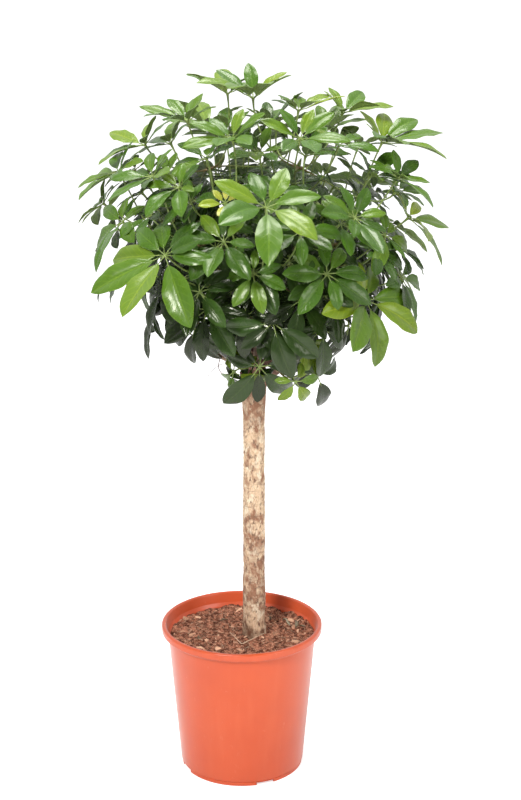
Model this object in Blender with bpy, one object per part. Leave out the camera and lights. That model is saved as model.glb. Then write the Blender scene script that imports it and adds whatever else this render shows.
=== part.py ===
"""An umbrella plant grown as a standard: one bare stem with a pruned head, in a plastic nursery pot.

Metres, +Z up. The origin is the middle of the pot's underside, on the surface it stands on,
and -Y is the front. The head carries ten shoots. Each compound leaf is one piece: a stalk,
and a whorl of leaflets that spreads from the top of it like the ribs of an umbrella.
"""

import math
import random
from collections import namedtuple

import bmesh
import bpy
from mathutils import Matrix, Vector
from mathutils.bvhtree import BVHTree

# ---------------------------------------------------------------- driving dimensions
RIM_RADIUS = 0.135  # the outside of the pot's lip
RIM_OPENING = 0.1280  # the mouth, inside the lip
FOOT_RADIUS = 0.1036
SHOULDER_RADIUS = 0.1240  # the body's outside where it flares into the lip
POT_HEIGHT = 0.2546
SHOULDER_HEIGHT = 0.2350
LIP_DEPTH = 0.0120  # how far the lip's skirt hangs down
WALL = 0.0022
POT_SEGMENTS = 48

PAD_RADIUS = 0.052  # the middle of the base, which stands on the floor
CHANNEL_HEIGHT = 0.0040  # the raised ring of the base, which holds the drain holes
FOOT_INSIDE = 0.0950
FOOT_BAND = 0.0070  # a narrow band round the foot, set in from the body
FOOT_STEP = 0.0009
NOTCHES = 4
NOTCH_WIDTH = 0.031
NOTCH_HEIGHT = 0.0045
FIRST_NOTCH = math.radians(-67)
DRAIN_HOLES = 8
DRAIN_RADIUS = 0.006
DRAIN_CIRCLE = 0.074

SOIL_TOP = 0.2300
SOIL_MOUND = 0.0045  # how much the soil rises from the wall to the stem
GAP = 0.0003  # between pieces that touch

STEM_X = 0.0207  # the stem stands a little to the right of the pot's middle
STEM_FOOT = 0.150  # the end of the stem, down in the root ball
STEM_RADIUS = 0.0183
BURIED_RADIUS = 0.0205
HEAD_RADIUS = 0.0250  # the swollen head that the shoots grow from
HEAD_TOP = 0.785
STEM_SIDES = 20

SHOOT_SIDES = 10
SHOOT_RINGS = 8
SHOOT_BASE_RADIUS = 0.0072
SHOOT_TIP_RADIUS = 0.0036

CROWN_HEART = Vector((0.035, 0.0, 0.90))
CROWN_LOW, CROWN_HIGH = 0.72, 1.12  # the heights of the lowest and highest whorls
STALK_LENGTH = 0.105  # the usual leaf stalk
STALK_RADIUS = 0.0014
STALK_BASE_RADIUS = 0.0021
HUB_RADIUS = 0.0030
HUB_DEPTH = 0.0035
LEAFLET_WIDTH = 0.172  # half of a leaflet's width, as a share of its length
UPWARD_PULL = 0.65  # how far the whorls turn up to the light
LEAFLET_KEEL = 0.0010  # how far the midrib stands below the blade
# Along a leaflet: the share of its length, and the shares of its width and of its keel there.
LEAFLET_STATIONS = ((0.13, 0.05, 1.3), (0.36, 0.74, 1.1), (0.64, 1.0, 0.9), (0.87, 0.68, 0.7))
EDGE_ROOM = 0.9  # how much of the room between neighbours in a whorl a leaflet may fill

# ---------------------------------------------------------------- how the plant has grown
Shoot = namedtuple("Shoot", "start_height x y z")  # the tip's place
SHOOTS = [
    Shoot(0.735, -0.060, -0.110, 0.930),
    Shoot(0.715, -0.120, 0.000, 0.930),
    Shoot(0.755, -0.050, 0.030, 1.020),
    Shoot(0.715, 0.030, -0.130, 0.900),
    Shoot(0.695, 0.090, -0.090, 0.800),
    Shoot(0.745, 0.140, -0.110, 0.930),
    Shoot(0.715, 0.170, 0.000, 0.920),
    Shoot(0.765, 0.090, -0.010, 1.030),
    Shoot(0.735, -0.050, 0.120, 0.940),
    Shoot(0.755, 0.110, 0.120, 0.940),
]

# A whorl's place, the length of its longest leaflet, and how many leaflets it has.
Whorl = namedtuple("Whorl", "x y z reach count")
FRONT_WHORLS = [
    # the left side, from the top down
    Whorl(-0.02, 0.02, 1.14, 0.080, 7),
    Whorl(-0.08, -0.06, 1.11, 0.080, 8),
    Whorl(-0.15, 0.02, 1.06, 0.095, 7),
    Whorl(-0.20, -0.02, 1.03, 0.090, 8),
    Whorl(-0.13, -0.14, 1.04, 0.080, 8),
    Whorl(-0.22, 0.05, 0.96, 0.080, 7),
    Whorl(-0.18, -0.09, 0.96, 0.090, 8),
    Whorl(-0.09, -0.18, 1.03, 0.070, 7),
    Whorl(-0.108, -0.24, 0.943, 0.130, 9),
    Whorl(-0.05, -0.16, 0.84, 0.090, 8),
    Whorl(-0.08, -0.08, 0.86, 0.070, 7),
    # the middle
    Whorl(-0.01, -0.16, 1.10, 0.085, 8),
    Whorl(0.02, -0.04, 1.14, 0.105, 7),
    Whorl(-0.02, -0.24, 1.02, 0.045, 6),
    Whorl(0.04, -0.27, 1.02, 0.112, 7),
    Whorl(0.09, -0.25, 0.98, 0.085, 7),
    Whorl(0.02, -0.22, 0.91, 0.060, 7),
    Whorl(-0.01, -0.17, 0.86, 0.080, 7),
    Whorl(0.05, -0.20, 0.83, 0.092, 8),
    Whorl(0.03, -0.16, 0.75, 0.095, 8),
    Whorl(0.10, -0.14, 0.78, 0.060, 7),
    # the right side, from the top down
    Whorl(0.09, -0.02, 1.12, 0.075, 7),
    Whorl(0.09, -0.16, 1.10, 0.085, 7),
    Whorl(0.16, 0.02, 1.11, 0.080, 6),
    Whorl(0.15, -0.10, 1.08, 0.070, 7),
    Whorl(0.22, -0.02, 1.07, 0.105, 8),
    Whorl(0.24, -0.10, 1.03, 0.080, 8),
    Whorl(0.17, -0.20, 0.99, 0.085, 8),
    Whorl(0.26, -0.06, 0.96, 0.100, 7),
    Whorl(0.22, -0.14, 0.95, 0.075, 7),
    Whorl(0.13, -0.22, 0.91, 0.090, 8),
    Whorl(0.23, -0.03, 0.89, 0.080, 7),
    Whorl(0.19, -0.18, 0.86, 0.120, 8),
    Whorl(0.17, -0.07, 0.79, 0.085, 7),
    Whorl(0.12, -0.03, 0.73, 0.080, 7),
]
BACK_WHORLS = 12  # these spread evenly over the back of the crown
BACK_RADII = Vector((0.225, 0.250, 0.205))
BACK_SINES = (-0.62, 0.93)  # of the elevation of the lowest and the highest
GOLDEN = (math.sqrt(5) - 1) / 2

ATTACHMENTS = 12  # the places on the shoots that a leaf may spring from, nearest first
TURNS = 5  # the ways a whorl may be turned on its stalk
TILTS = 16  # the ways a whorl may lean


# ---------------------------------------------------------------- shared tools
def clear_scene():
    for obj in list(bpy.data.objects):
        bpy.data.objects.remove(obj)


def finish_material(name, colour, roughness):
    material = bpy.data.materials.new(name)
    material.use_nodes = True
    shader = material.node_tree.nodes["Principled BSDF"]
    shader.inputs["Base Color"].default_value = (*colour, 1.0)
    shader.inputs["Roughness"].default_value = roughness
    shader.inputs["Metallic"].default_value = 0.0
    return material


def add_object(name, points, faces, material, sharp_angle=None):
    """A named object from points and faces, with its faces turned outwards."""
    mesh = bpy.data.meshes.new(name)
    mesh.from_pydata([tuple(point) for point in points], [], faces)
    shape = bmesh.new()
    shape.from_mesh(mesh)
    bmesh.ops.recalc_face_normals(shape, faces=shape.faces)
    shape.to_mesh(mesh)
    shape.free()
    mesh.materials.append(material)
    if sharp_angle is not None:
        mesh.shade_smooth()
        mesh.set_sharp_from_angle(angle=sharp_angle)
    obj = bpy.data.objects.new(name, mesh)
    bpy.context.scene.collection.objects.link(obj)
    return obj


def bridge(first, second):
    """The quads between two rings of as many points."""
    count = len(first)
    return [
        (first[i], first[(i + 1) % count], second[(i + 1) % count], second[i])
        for i in range(count)
    ]


def lathe(profile, segments, axis_x=0.0):
    """Points and faces of a profile of (radius, height) pairs turned about an upright axis."""
    points, faces, rings = [], [], []
    for radius, height in profile:
        if radius == 0:
            points.append(Vector((axis_x, 0, height)))
            rings.append([len(points) - 1] * segments)
            continue
        rings.append(list(range(len(points), len(points) + segments)))
        for i in range(segments):
            angle = math.tau * i / segments
            points.append(
                Vector((axis_x + radius * math.cos(angle), radius * math.sin(angle), height))
            )
    for first, second in zip(rings, rings[1:]):
        # Where a ring is a single point, its quads become triangles.
        faces += [tuple(dict.fromkeys(face)) for face in bridge(first, second)]
    return points, faces


def bezier(controls, t):
    """A point on a cubic curve and the curve's direction there."""
    a, b, c, d = controls
    s = 1 - t
    point = a * s**3 + b * (3 * s * s * t) + c * (3 * s * t * t) + d * t**3
    slope = (b - a) * (s * s) + (c - b) * (2 * s * t) + (d - c) * (t * t)
    return point, slope.normalized()


def across(direction, guide):
    """The part of guide that is square to direction, as a unit vector."""
    return (guide - direction * guide.dot(direction)).normalized()


def ring_points(centre, direction, guide, radius, count, phase=0.0):
    side = across(direction, guide)
    other = direction.cross(side)
    return [
        centre
        + side * (radius * math.cos(phase + math.tau * i / count))
        + other * (radius * math.sin(phase + math.tau * i / count))
        for i in range(count)
    ]


# ---------------------------------------------------------------- the pot
def body_radius(height):
    """The outside of the pot's tapered body."""
    return FOOT_RADIUS + (SHOULDER_RADIUS - FOOT_RADIUS) * height / SHOULDER_HEIGHT


def pot_profile():
    """The pot's section, from the middle of the underside, out, up and back down inside."""
    skirt = POT_HEIGHT - LIP_DEPTH
    floor_top = CHANNEL_HEIGHT + WALL
    inside_foot = body_radius(floor_top) - WALL
    return [
        (0, 0),
        (PAD_RADIUS, 0),
        (PAD_RADIUS + 0.004, CHANNEL_HEIGHT),
        (FOOT_INSIDE, CHANNEL_HEIGHT),
        (FOOT_INSIDE + 0.003, 0),
        (FOOT_RADIUS - FOOT_STEP, 0),
        (FOOT_RADIUS - FOOT_STEP, FOOT_BAND),
        (body_radius(FOOT_BAND + FOOT_STEP), FOOT_BAND + FOOT_STEP),
        (SHOULDER_RADIUS, SHOULDER_HEIGHT),
        (SHOULDER_RADIUS + 0.0035, skirt - 0.0015),
        (RIM_OPENING + 0.0012, skirt + 0.0040),
        (RIM_RADIUS - 0.0028, skirt + 0.0070),
        (RIM_RADIUS - 0.0016, skirt),
        (RIM_RADIUS, skirt + 0.0012),
        (RIM_RADIUS, POT_HEIGHT - 0.0030),
        (RIM_RADIUS - 0.0026, POT_HEIGHT),
        (RIM_OPENING + 0.0016, POT_HEIGHT),
        (RIM_OPENING, POT_HEIGHT - 0.0016),
        (SHOULDER_RADIUS + 0.0010, SHOULDER_HEIGHT + 0.0020),
        (SHOULDER_RADIUS - WALL, SHOULDER_HEIGHT - 0.0040),
        (inside_foot, floor_top + 0.0030),
        (inside_foot - 0.0030, floor_top),
        (PAD_RADIUS + 0.0046, floor_top),
        (PAD_RADIUS + 0.0006, WALL),
        (0, WALL),
    ]


def drain_cutters():
    """One mesh of separate closed shapes: a block for each notch and a rod for each hole."""
    shape = bmesh.new()
    notch_reach = FOOT_RADIUS - FOOT_INSIDE + 0.012
    for i in range(NOTCHES):
        turn = Matrix.Rotation(FIRST_NOTCH + math.tau * i / NOTCHES, 4, "Z")
        place = Matrix.Translation((FOOT_INSIDE - 0.001 + notch_reach / 2, 0, 0))
        size = Matrix.Diagonal((notch_reach, NOTCH_WIDTH, 2 * NOTCH_HEIGHT, 1))
        bmesh.ops.create_cube(shape, size=1.0, matrix=turn @ place @ size)
    for i in range(DRAIN_HOLES):
        angle = FIRST_NOTCH + math.tau * (i + 0.5) / DRAIN_HOLES
        place = Matrix.Translation(
            (DRAIN_CIRCLE * math.cos(angle), DRAIN_CIRCLE * math.sin(angle), CHANNEL_HEIGHT)
        )
        bmesh.ops.create_cone(
            shape,
            cap_ends=True,
            segments=12,
            radius1=DRAIN_RADIUS,
            radius2=DRAIN_RADIUS,
            depth=6 * WALL,
            matrix=place,
        )
    mesh = bpy.data.meshes.new("drain_cutters")
    shape.to_mesh(mesh)
    shape.free()
    cutters = bpy.data.objects.new("drain_cutters", mesh)
    bpy.context.scene.collection.objects.link(cutters)
    cutters.hide_render = True
    cutters.display_type = "WIRE"
    return cutters


def build_pot():
    plastic = finish_material("pot_plastic", (0.78, 0.14, 0.045), 0.42)
    points, faces = lathe(pot_profile(), POT_SEGMENTS)
    pot = add_object("pot", points, faces, plastic, math.radians(35))
    cut = pot.modifiers.new("drainage", "BOOLEAN")
    cut.operation = "DIFFERENCE"
    cut.solver = "EXACT"
    cut.object = drain_cutters()
    return pot


# ---------------------------------------------------------------- the soil
def build_soil():
    """Potting soil that fills the pot to below the rim, with a socket where the stem goes in."""
    floor = CHANNEL_HEIGHT + WALL + GAP
    corner = floor + 0.004
    clearance = WALL + 2 * GAP
    profile = [
        (0, floor),
        (body_radius(floor) - clearance - 0.0034, floor),
        (body_radius(corner) - clearance, corner),
        (body_radius(SOIL_TOP) - clearance, SOIL_TOP),
        (0.090, SOIL_TOP + 0.4 * SOIL_MOUND),
        (0.055, SOIL_TOP + 0.7 * SOIL_MOUND),
        (0, SOIL_TOP + SOIL_MOUND),
    ]
    dark = finish_material("potting_soil", (0.09, 0.045, 0.025), 0.95)
    points, faces = lathe(profile, POT_SEGMENTS)
    soil = add_object("soil", points, faces, dark, math.radians(40))

    socket_sides = 32
    socket_radius = (BURIED_RADIUS + GAP) / math.cos(math.pi / socket_sides)
    low, high = STEM_FOOT - GAP, SOIL_TOP + 10 * SOIL_MOUND
    socket_profile = [(0, low), (socket_radius, low), (socket_radius, high), (0, high)]
    points, faces = lathe(socket_profile, socket_sides, STEM_X)
    socket = add_object("stem_socket", points, faces, dark)
    socket.hide_render = True
    socket.display_type = "WIRE"
    cut = soil.modifiers.new("socket", "BOOLEAN")
    cut.operation = "DIFFERENCE"
    cut.solver = "EXACT"
    cut.object = socket
    return soil


# ---------------------------------------------------------------- the stem
def stem_profile():
    """The stem's section. The shoots start from the heights between the neck and the head's top."""
    head_heights = sorted({shoot.start_height for shoot in SHOOTS})
    profile = [
        (0, STEM_FOOT),
        (0.6 * BURIED_RADIUS, STEM_FOOT),
        (BURIED_RADIUS, STEM_FOOT + 0.012),
        (BURIED_RADIUS, SOIL_TOP + SOIL_MOUND + 0.004),
        (STEM_RADIUS + 0.0008, SOIL_TOP + 0.030),
        (STEM_RADIUS + 0.0013, 0.300),
        (STEM_RADIUS, 0.360),
        (STEM_RADIUS + 0.0004, 0.450),
        (STEM_RADIUS - 0.0004, 0.540),
        (STEM_RADIUS, 0.620),
        (STEM_RADIUS + 0.0020, 0.665),
    ]
    profile += [(head_radius(height), height) for height in head_heights]
    profile += [(0.72 * HEAD_RADIUS, HEAD_TOP - 0.006), (0, HEAD_TOP)]
    return profile


def head_radius(height):
    """The head swells from the neck and draws in again towards its rounded top."""
    middle, half_height = 0.732, 0.072
    return HEAD_RADIUS * math.sqrt(1 - 0.35 * ((height - middle) / half_height) ** 2)


def build_stem():
    bark = finish_material("bark", (0.42, 0.30, 0.20), 0.85)
    points, faces = lathe(stem_profile(), STEM_SIDES, STEM_X)
    return add_object("stem", points, faces, bark, math.radians(50))


# ---------------------------------------------------------------- the shoots
def shoot_path(shoot):
    """A curve that leaves the head square to its surface and bends up towards the tip."""
    tip = Vector((shoot.x, shoot.y, shoot.z))
    centre = Vector((STEM_X, 0, shoot.start_height))
    outward = Vector((tip.x - centre.x, tip.y, 0)).normalized()
    widest = max(head_radius(shoot.start_height + k * SHOOT_BASE_RADIUS) for k in (-1, 0, 1))
    start = centre + outward * (widest + GAP)
    length = (tip - start).length
    leaning = (Vector((outward.x, outward.y, 0)) * 0.35 + Vector((0, 0, 1))).normalized()
    return start, start + outward * (0.28 * length), tip - leaning * (0.40 * length), tip


def shoot_radius(t):
    return SHOOT_BASE_RADIUS + (SHOOT_TIP_RADIUS - SHOOT_BASE_RADIUS) * t


def shoot_mesh(path):
    points, faces, rings = [], [], []
    for i in range(SHOOT_RINGS + 1):
        t = i / SHOOT_RINGS
        centre, direction = bezier(path, t)
        rings.append(list(range(len(points), len(points) + SHOOT_SIDES)))
        points += ring_points(centre, direction, bend_axis(path), shoot_radius(t), SHOOT_SIDES)
    for first, second in zip(rings, rings[1:]):
        faces += bridge(first, second)
    faces += [tuple(rings[0]), tuple(rings[-1])]
    return points, faces


def bend_axis(path):
    """Square to the plane that the path bends in, so that rings set out from it don't twist."""
    return (path[1] - path[0]).cross(path[3] - path[0])


# ---------------------------------------------------------------- the leaves
def all_whorls():
    whorls = list(FRONT_WHORLS)
    low, high = BACK_SINES
    for i in range(BACK_WHORLS):
        sine = low + (high - low) * (i + 0.5) / BACK_WHORLS
        level = math.sqrt(1 - sine * sine)
        angle = math.radians(8) + math.radians(164) * ((i * GOLDEN) % 1)
        place = CROWN_HEART + Vector(
            (
                level * math.cos(angle) * BACK_RADII.x,
                level * math.sin(angle) * BACK_RADII.y,
                sine * BACK_RADII.z,
            )
        )
        whorls.append(Whorl(*place, 0.080 + 0.006 * (i % 4), 7 + i % 2))
    return whorls


class LeafForm:
    """How one leaf is set: where its whorl sits, which way it faces and how its leaflets hang."""

    def __init__(self, whorl, seed, lean):
        chance = random.Random(1000 * seed + lean)
        spread = 0.10 + 0.025 * lean
        stray = Vector([chance.uniform(-spread, spread) for _ in range(3)])
        self.hub = Vector((whorl.x, whorl.y, whorl.z)) + stray * (0.02 * lean)
        self.count = whorl.count
        outward = (self.hub - CROWN_HEART).normalized()
        self.facing = (outward + Vector((0, 0, UPWARD_PULL)) + stray).normalized()
        hang = Vector((outward.x, outward.y, -0.55))
        self.front = across(self.facing, hang)
        height = (whorl.z - CROWN_LOW) / (CROWN_HIGH - CROWN_LOW)
        height = min(max(height, 0.0), 1.0)
        self.cup = math.radians(-14 + 56 * height + chance.uniform(-6, 6))
        self.droop = math.radians(40 - 16 * height)
        self.lengths = []
        self.lifts = []
        for _ in range(self.count):
            self.lengths.append(whorl.reach * chance.uniform(0.94, 1.0))
            self.lifts.append(math.radians(chance.uniform(-9, 9)))


def attachments(form, paths):
    """The places on the shoots that suit this leaf, the best first: (point, direction, radius)."""
    found = []
    for path in paths:
        for ring in range(2, SHOOT_RINGS + 1):
            t = ring / SHOOT_RINGS
            point, direction = bezier(path, t)
            away = form.hub - point
            strain = abs(away.length - STALK_LENGTH)
            strain += 0.06 * (1 - away.normalized().dot(form.facing))
            found.append((strain, len(found), point, direction, shoot_radius(t)))
    found.sort(key=lambda entry: entry[:2])
    return [entry[2:] for entry in found[:ATTACHMENTS]]


def stalk_path(form, place):
    """A curve that leaves the shoot square to its bark and meets the whorl from below."""
    point, direction, radius = place
    side = across(direction, form.hub - point)
    start = point + side * (radius + GAP)
    end = form.hub - form.facing * HUB_DEPTH
    length = (end - start).length
    return start, start + side * (0.30 * length), end - form.facing * (0.35 * length), end


def leaflet_station(form, azimuth, lift, length, u):
    """A point on a leaflet's midrib at the share u of its length, and the blade's upward direction."""
    radial = form.front * math.cos(azimuth) + form.facing.cross(form.front) * math.sin(azimuth)
    rise = form.cup + lift
    bend = form.droop
    along = (math.sin(rise) - math.sin(rise - bend * u)) / bend * length
    above = (math.cos(rise - bend * u) - math.cos(rise)) / bend * length
    tilt = rise - bend * u
    centre = form.hub + radial * (HUB_RADIUS + along) + form.facing * above
    upward = form.facing * math.cos(tilt) - radial * math.sin(tilt)
    return centre, upward, form.facing.cross(radial)


def across_hub(form, point):
    """How far a point is from the whorl's axis."""
    away = point - form.hub
    return (away - form.facing * away.dot(form.facing)).length


def leaf_mesh(form, place, turn):
    """The whole leaf as one closed shape.

    The hub is a drum whose top corners lie between the leaflets and whose bottom corners lie
    under them, so each leaflet grows from a triangle of its side and the stalk from its base.
    """
    count = form.count
    step = math.tau / count
    path = stalk_path(form, place)
    points = ring_points(
        form.hub, form.facing, form.front, HUB_RADIUS, count, turn - step / 2
    )
    points += ring_points(
        form.hub - form.facing * HUB_DEPTH,
        form.facing,
        form.front,
        0.55 * HUB_RADIUS,
        count,
        turn,
    )
    faces = [tuple(range(count))]
    for i in range(count):
        azimuth = turn + step * i
        length = form.lengths[i] * (0.80 + 0.20 * math.cos(azimuth))
        section = (i, (i + 1) % count, count + i)
        for u, width, keel in LEAFLET_STATIONS:
            centre, upward, side = leaflet_station(form, azimuth, form.lifts[i], length, u)
            room = EDGE_ROOM * across_hub(form, centre) * math.tan(step / 2)
            half = min(LEAFLET_WIDTH * length * width, room)
            new = tuple(range(len(points), len(points) + 3))
            points += [centre - side * half, centre + side * half]
            points.append(centre - upward * (LEAFLET_KEEL * keel))
            faces += bridge(section, new)
            section = new
        points.append(leaflet_station(form, azimuth, form.lifts[i], length, 1.0)[0])
        tip = len(points) - 1
        faces += [(section[k], section[(k + 1) % 3], tip) for k in range(3)]
        faces.append(((i + 1) % count, count + (i + 1) % count, count + i))

    ring = list(range(count, 2 * count))
    for t, radius in ((0.66, STALK_RADIUS), (0.33, STALK_RADIUS), (0.0, STALK_BASE_RADIUS)):
        centre, direction = bezier(path, t)
        new = list(range(len(points), len(points) + count))
        points += ring_points(centre, direction, form.front, radius, count, turn)
        faces += bridge(ring, new)
        ring = new
    faces.append(tuple(ring))
    return points, faces


def settle(whorl, seed, paths, neighbours):
    """The leaf in the first lean, place and turn where it touches none of its neighbours."""
    for lean in range(TILTS):
        form = LeafForm(whorl, seed, lean)
        for place in attachments(form, paths):
            for k in range(TURNS):
                turn = math.tau / form.count * ((k * GOLDEN) % 1)
                points, faces = leaf_mesh(form, place, turn)
                tree = BVHTree.FromPolygons(points, faces)
                if not any(tree.overlap(other) for other in neighbours):
                    return points, faces, tree
    raise RuntimeError(f"no room for the whorl at {tuple(form.hub)}")


# ---------------------------------------------------------------- the whole plant
def main():
    clear_scene()
    build_pot()
    build_soil()
    build_stem()

    young_bark = finish_material("young_bark", (0.24, 0.20, 0.09), 0.7)
    leaf_green = finish_material("leaf_green", (0.06, 0.20, 0.02), 0.32)
    paths = [shoot_path(shoot) for shoot in SHOOTS]
    placed = []
    for number, path in enumerate(paths, 1):
        points, faces = shoot_mesh(path)
        add_object(f"shoot_{number:02d}", points, faces, young_bark, math.radians(50))
        placed.append(BVHTree.FromPolygons(points, faces))
    placed.append(BVHTree.FromPolygons(*lathe(stem_profile(), STEM_SIDES, STEM_X)))

    for number, whorl in enumerate(all_whorls(), 1):
        points, faces, tree = settle(whorl, number, paths, placed)
        placed.append(tree)
        add_object(f"leaf_{number:02d}", points, faces, leaf_green, math.radians(40))


main()
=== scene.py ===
import math
import random
from collections import namedtuple

import bmesh
import bpy
import numpy as np
from mathutils import Matrix, Vector, noise
from mathutils.bvhtree import BVHTree


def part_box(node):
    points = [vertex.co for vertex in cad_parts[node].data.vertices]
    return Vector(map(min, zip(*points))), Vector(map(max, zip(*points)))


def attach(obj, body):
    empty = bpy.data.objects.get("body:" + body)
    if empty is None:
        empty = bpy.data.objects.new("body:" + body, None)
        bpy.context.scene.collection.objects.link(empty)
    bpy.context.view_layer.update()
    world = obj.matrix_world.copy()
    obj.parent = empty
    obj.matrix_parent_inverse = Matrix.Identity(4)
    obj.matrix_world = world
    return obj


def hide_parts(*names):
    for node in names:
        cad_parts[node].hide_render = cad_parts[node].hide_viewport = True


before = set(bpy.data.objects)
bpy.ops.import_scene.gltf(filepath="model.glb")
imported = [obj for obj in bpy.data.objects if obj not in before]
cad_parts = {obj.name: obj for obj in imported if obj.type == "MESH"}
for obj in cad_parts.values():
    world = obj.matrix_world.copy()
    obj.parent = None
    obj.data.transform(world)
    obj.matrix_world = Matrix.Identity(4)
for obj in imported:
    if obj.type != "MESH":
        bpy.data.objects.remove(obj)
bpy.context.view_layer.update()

# ---------------------------------------------------------------- the pot
# A grower's pot, injection-moulded in one piece from terracotta-coloured polypropylene. The tapered
# body ends in a rolled lip, and the base has a middle pad, a raised ring with drain holes, and a
# foot ring with notches that let the water out.
pot_low, pot_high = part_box("pot")
RIM_RADIUS = (pot_high.x - pot_low.x) / 2
POT_HEIGHT = pot_high.z
RIM_OPENING = 0.1280
SHOULDER_RADIUS, SHOULDER_HEIGHT = 0.1240, 0.2350
FOOT_RADIUS = 0.1036
FOOT_BAND, FOOT_STEP = 0.0070, 0.0009
FOOT_INSIDE = 0.0950
PAD_RADIUS = 0.052
CHANNEL_HEIGHT = 0.0040
WALL = 0.0022
DRAIN_CIRCLE, DRAIN_RADIUS, DRAINS = 0.074, 0.006, 8
NOTCH_REACH, NOTCH_WIDTH, NOTCH_HEIGHT, NOTCHES = 0.0206, 0.031, 0.0045, 4
FIRST_NOTCH = math.radians(-67)
DUST_HEIGHT = 0.030
POT_SEGMENTS = 192


def body_radius(height):
    return FOOT_RADIUS + (SHOULDER_RADIUS - FOOT_RADIUS) * height / SHOULDER_HEIGHT


def rounded(corners, steps=5):
    """A profile whose corners, given as (radius, height, fillet), are turned into arcs."""
    profile = []
    for i, (radius, height, fillet) in enumerate(corners):
        here = Vector((radius, height))
        if fillet == 0 or i in (0, len(corners) - 1):
            profile.append((radius, height))
            continue
        before = (Vector(corners[i - 1][:2]) - here).normalized()
        after = (Vector(corners[i + 1][:2]) - here).normalized()
        half = before.angle(after) / 2
        reach = fillet / math.tan(half)
        centre = here + (before + after).normalized() * (fillet / math.sin(half))
        start = (here + before * reach - centre).normalized()
        end = (here + after * reach - centre).normalized()
        for k in range(steps + 1):
            point = centre + start.slerp(end, k / steps) * fillet
            profile.append((point.x, point.y))
    return profile


def inside_wall(height):
    return body_radius(height) - WALL


def ring_faces(first, second):
    count = len(first)
    return [
        (first[i], first[(i + 1) % count], second[(i + 1) % count], second[i])
        for i in range(count)
    ]


def skin(rings):
    """The faces between each ring of point numbers and the next; a pole is one point repeated."""
    faces = []
    for first, second in zip(rings, rings[1:]):
        faces += [tuple(dict.fromkeys(face)) for face in ring_faces(first, second)]
    return faces


def add_ring(points, rings, ring):
    rings.append(list(range(len(points), len(points) + len(ring))))
    points += ring


def add_pole(points, rings, pole, count):
    rings.append([len(points)] * count)
    points.append(pole)


def circle(radius, height, count):
    angles = [math.tau * i / count for i in range(count)]
    return [(radius * math.cos(angle), radius * math.sin(angle), height) for angle in angles]


def turned(profile, segments):
    """Points and faces of a profile of (radius, height) turned about the pot's upright axis."""
    points, rings = [], []
    for radius, height in profile:
        if radius == 0:
            add_pole(points, rings, (0, 0, height), segments)
        else:
            add_ring(points, rings, circle(radius, height, segments))
    return points, skin(rings)


def turn_outwards(mesh):
    shape = bmesh.new()
    shape.from_mesh(mesh)
    bmesh.ops.recalc_face_normals(shape, faces=shape.faces)
    shape.to_mesh(mesh)
    shape.free()


def put_in_scene(name, mesh, materials, sharp_degrees):
    """An object of this mesh, with its materials, smooth but for edges sharper than this."""
    for material in materials:
        mesh.materials.append(material)
    mesh.shade_smooth()
    mesh.set_sharp_from_angle(angle=math.radians(sharp_degrees))
    piece = bpy.data.objects.new(name, mesh)
    bpy.context.scene.collection.objects.link(piece)
    return piece


def add_piece(name, points, faces, materials, sharp_degrees=50):
    mesh = bpy.data.meshes.new(name)
    mesh.from_pydata([tuple(point) for point in points], [], faces)
    turn_outwards(mesh)
    return put_in_scene(name, mesh, materials, sharp_degrees)


def cut_out(piece, cutter):
    """Takes the cutter's shape out of the piece and removes the cutter."""
    cut = piece.modifiers.new("cut", "BOOLEAN")
    cut.operation = "DIFFERENCE"
    cut.solver = "EXACT"
    cut.object = cutter
    graph = bpy.context.evaluated_depsgraph_get()
    whole = piece.data
    piece.data = bpy.data.meshes.new_from_object(piece.evaluated_get(graph))
    piece.modifiers.clear()
    bpy.data.meshes.remove(whole)
    bpy.data.objects.remove(cutter)


def feed(tree, socket, value):
    """Links a socket to another, or gives it a plain value."""
    if isinstance(value, bpy.types.NodeSocket):
        tree.links.new(value, socket)
    else:
        socket.default_value = value


def add_node(tree, kind, inputs=None, **settings):
    """A shader node with its settings, its plain values and the sockets that feed it."""
    node = tree.nodes.new(kind)
    for name, value in settings.items():
        setattr(node, name, value)
    for key, value in (inputs or {}).items():
        feed(tree, node.inputs[key], value)
    return node


def blend_colours(tree, share, first, second, mode="MIX"):
    """The colour between first and second, or the one laid on the other, by share."""
    mix = add_node(tree, "ShaderNodeMix", data_type="RGBA", blend_type=mode)
    for key, value in (("Factor", share), ("A", first), ("B", second)):
        feed(tree, next(s for s in mix.inputs if s.name == key and s.enabled), value)
    return next(s for s in mix.outputs if s.enabled)


def remap(tree, value, from_low, from_high, to_low=0.0, to_high=1.0, smooth=False):
    """A value moved from one range to another and held within it."""
    names = ("Value", "From Min", "From Max", "To Min", "To Max")
    values = dict(zip(names, (value, from_low, from_high, to_low, to_high)))
    kind = "SMOOTHSTEP" if smooth else "LINEAR"
    node = add_node(tree, "ShaderNodeMapRange", values, interpolation_type=kind)
    return node.outputs["Result"]


def calculate(tree, operation, *values):
    """A Math node's result for these values and sockets."""
    node = add_node(tree, "ShaderNodeMath", operation=operation)
    for socket, value in zip(node.inputs, values):
        feed(tree, socket, value)
    return node.outputs[0]


def overlay(tree, colour, mask, weight, shade, mode="MIX"):
    """The colour with a shade laid on it where the mask is, at this weight."""
    return blend_colours(tree, calculate(tree, "MULTIPLY", mask, weight), colour, shade, mode)


def object_height(tree):
    """The height above the floor of the point that is shaded."""
    place = add_node(tree, "ShaderNodeTexCoord").outputs["Object"]
    return add_node(tree, "ShaderNodeSeparateXYZ", {0: place}).outputs["Z"]


def own_tone(tree):
    """The tone that the mesh gives this point, from 0 to 1."""
    return add_node(tree, "ShaderNodeAttribute", attribute_name="tone").outputs["Fac"]


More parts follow.
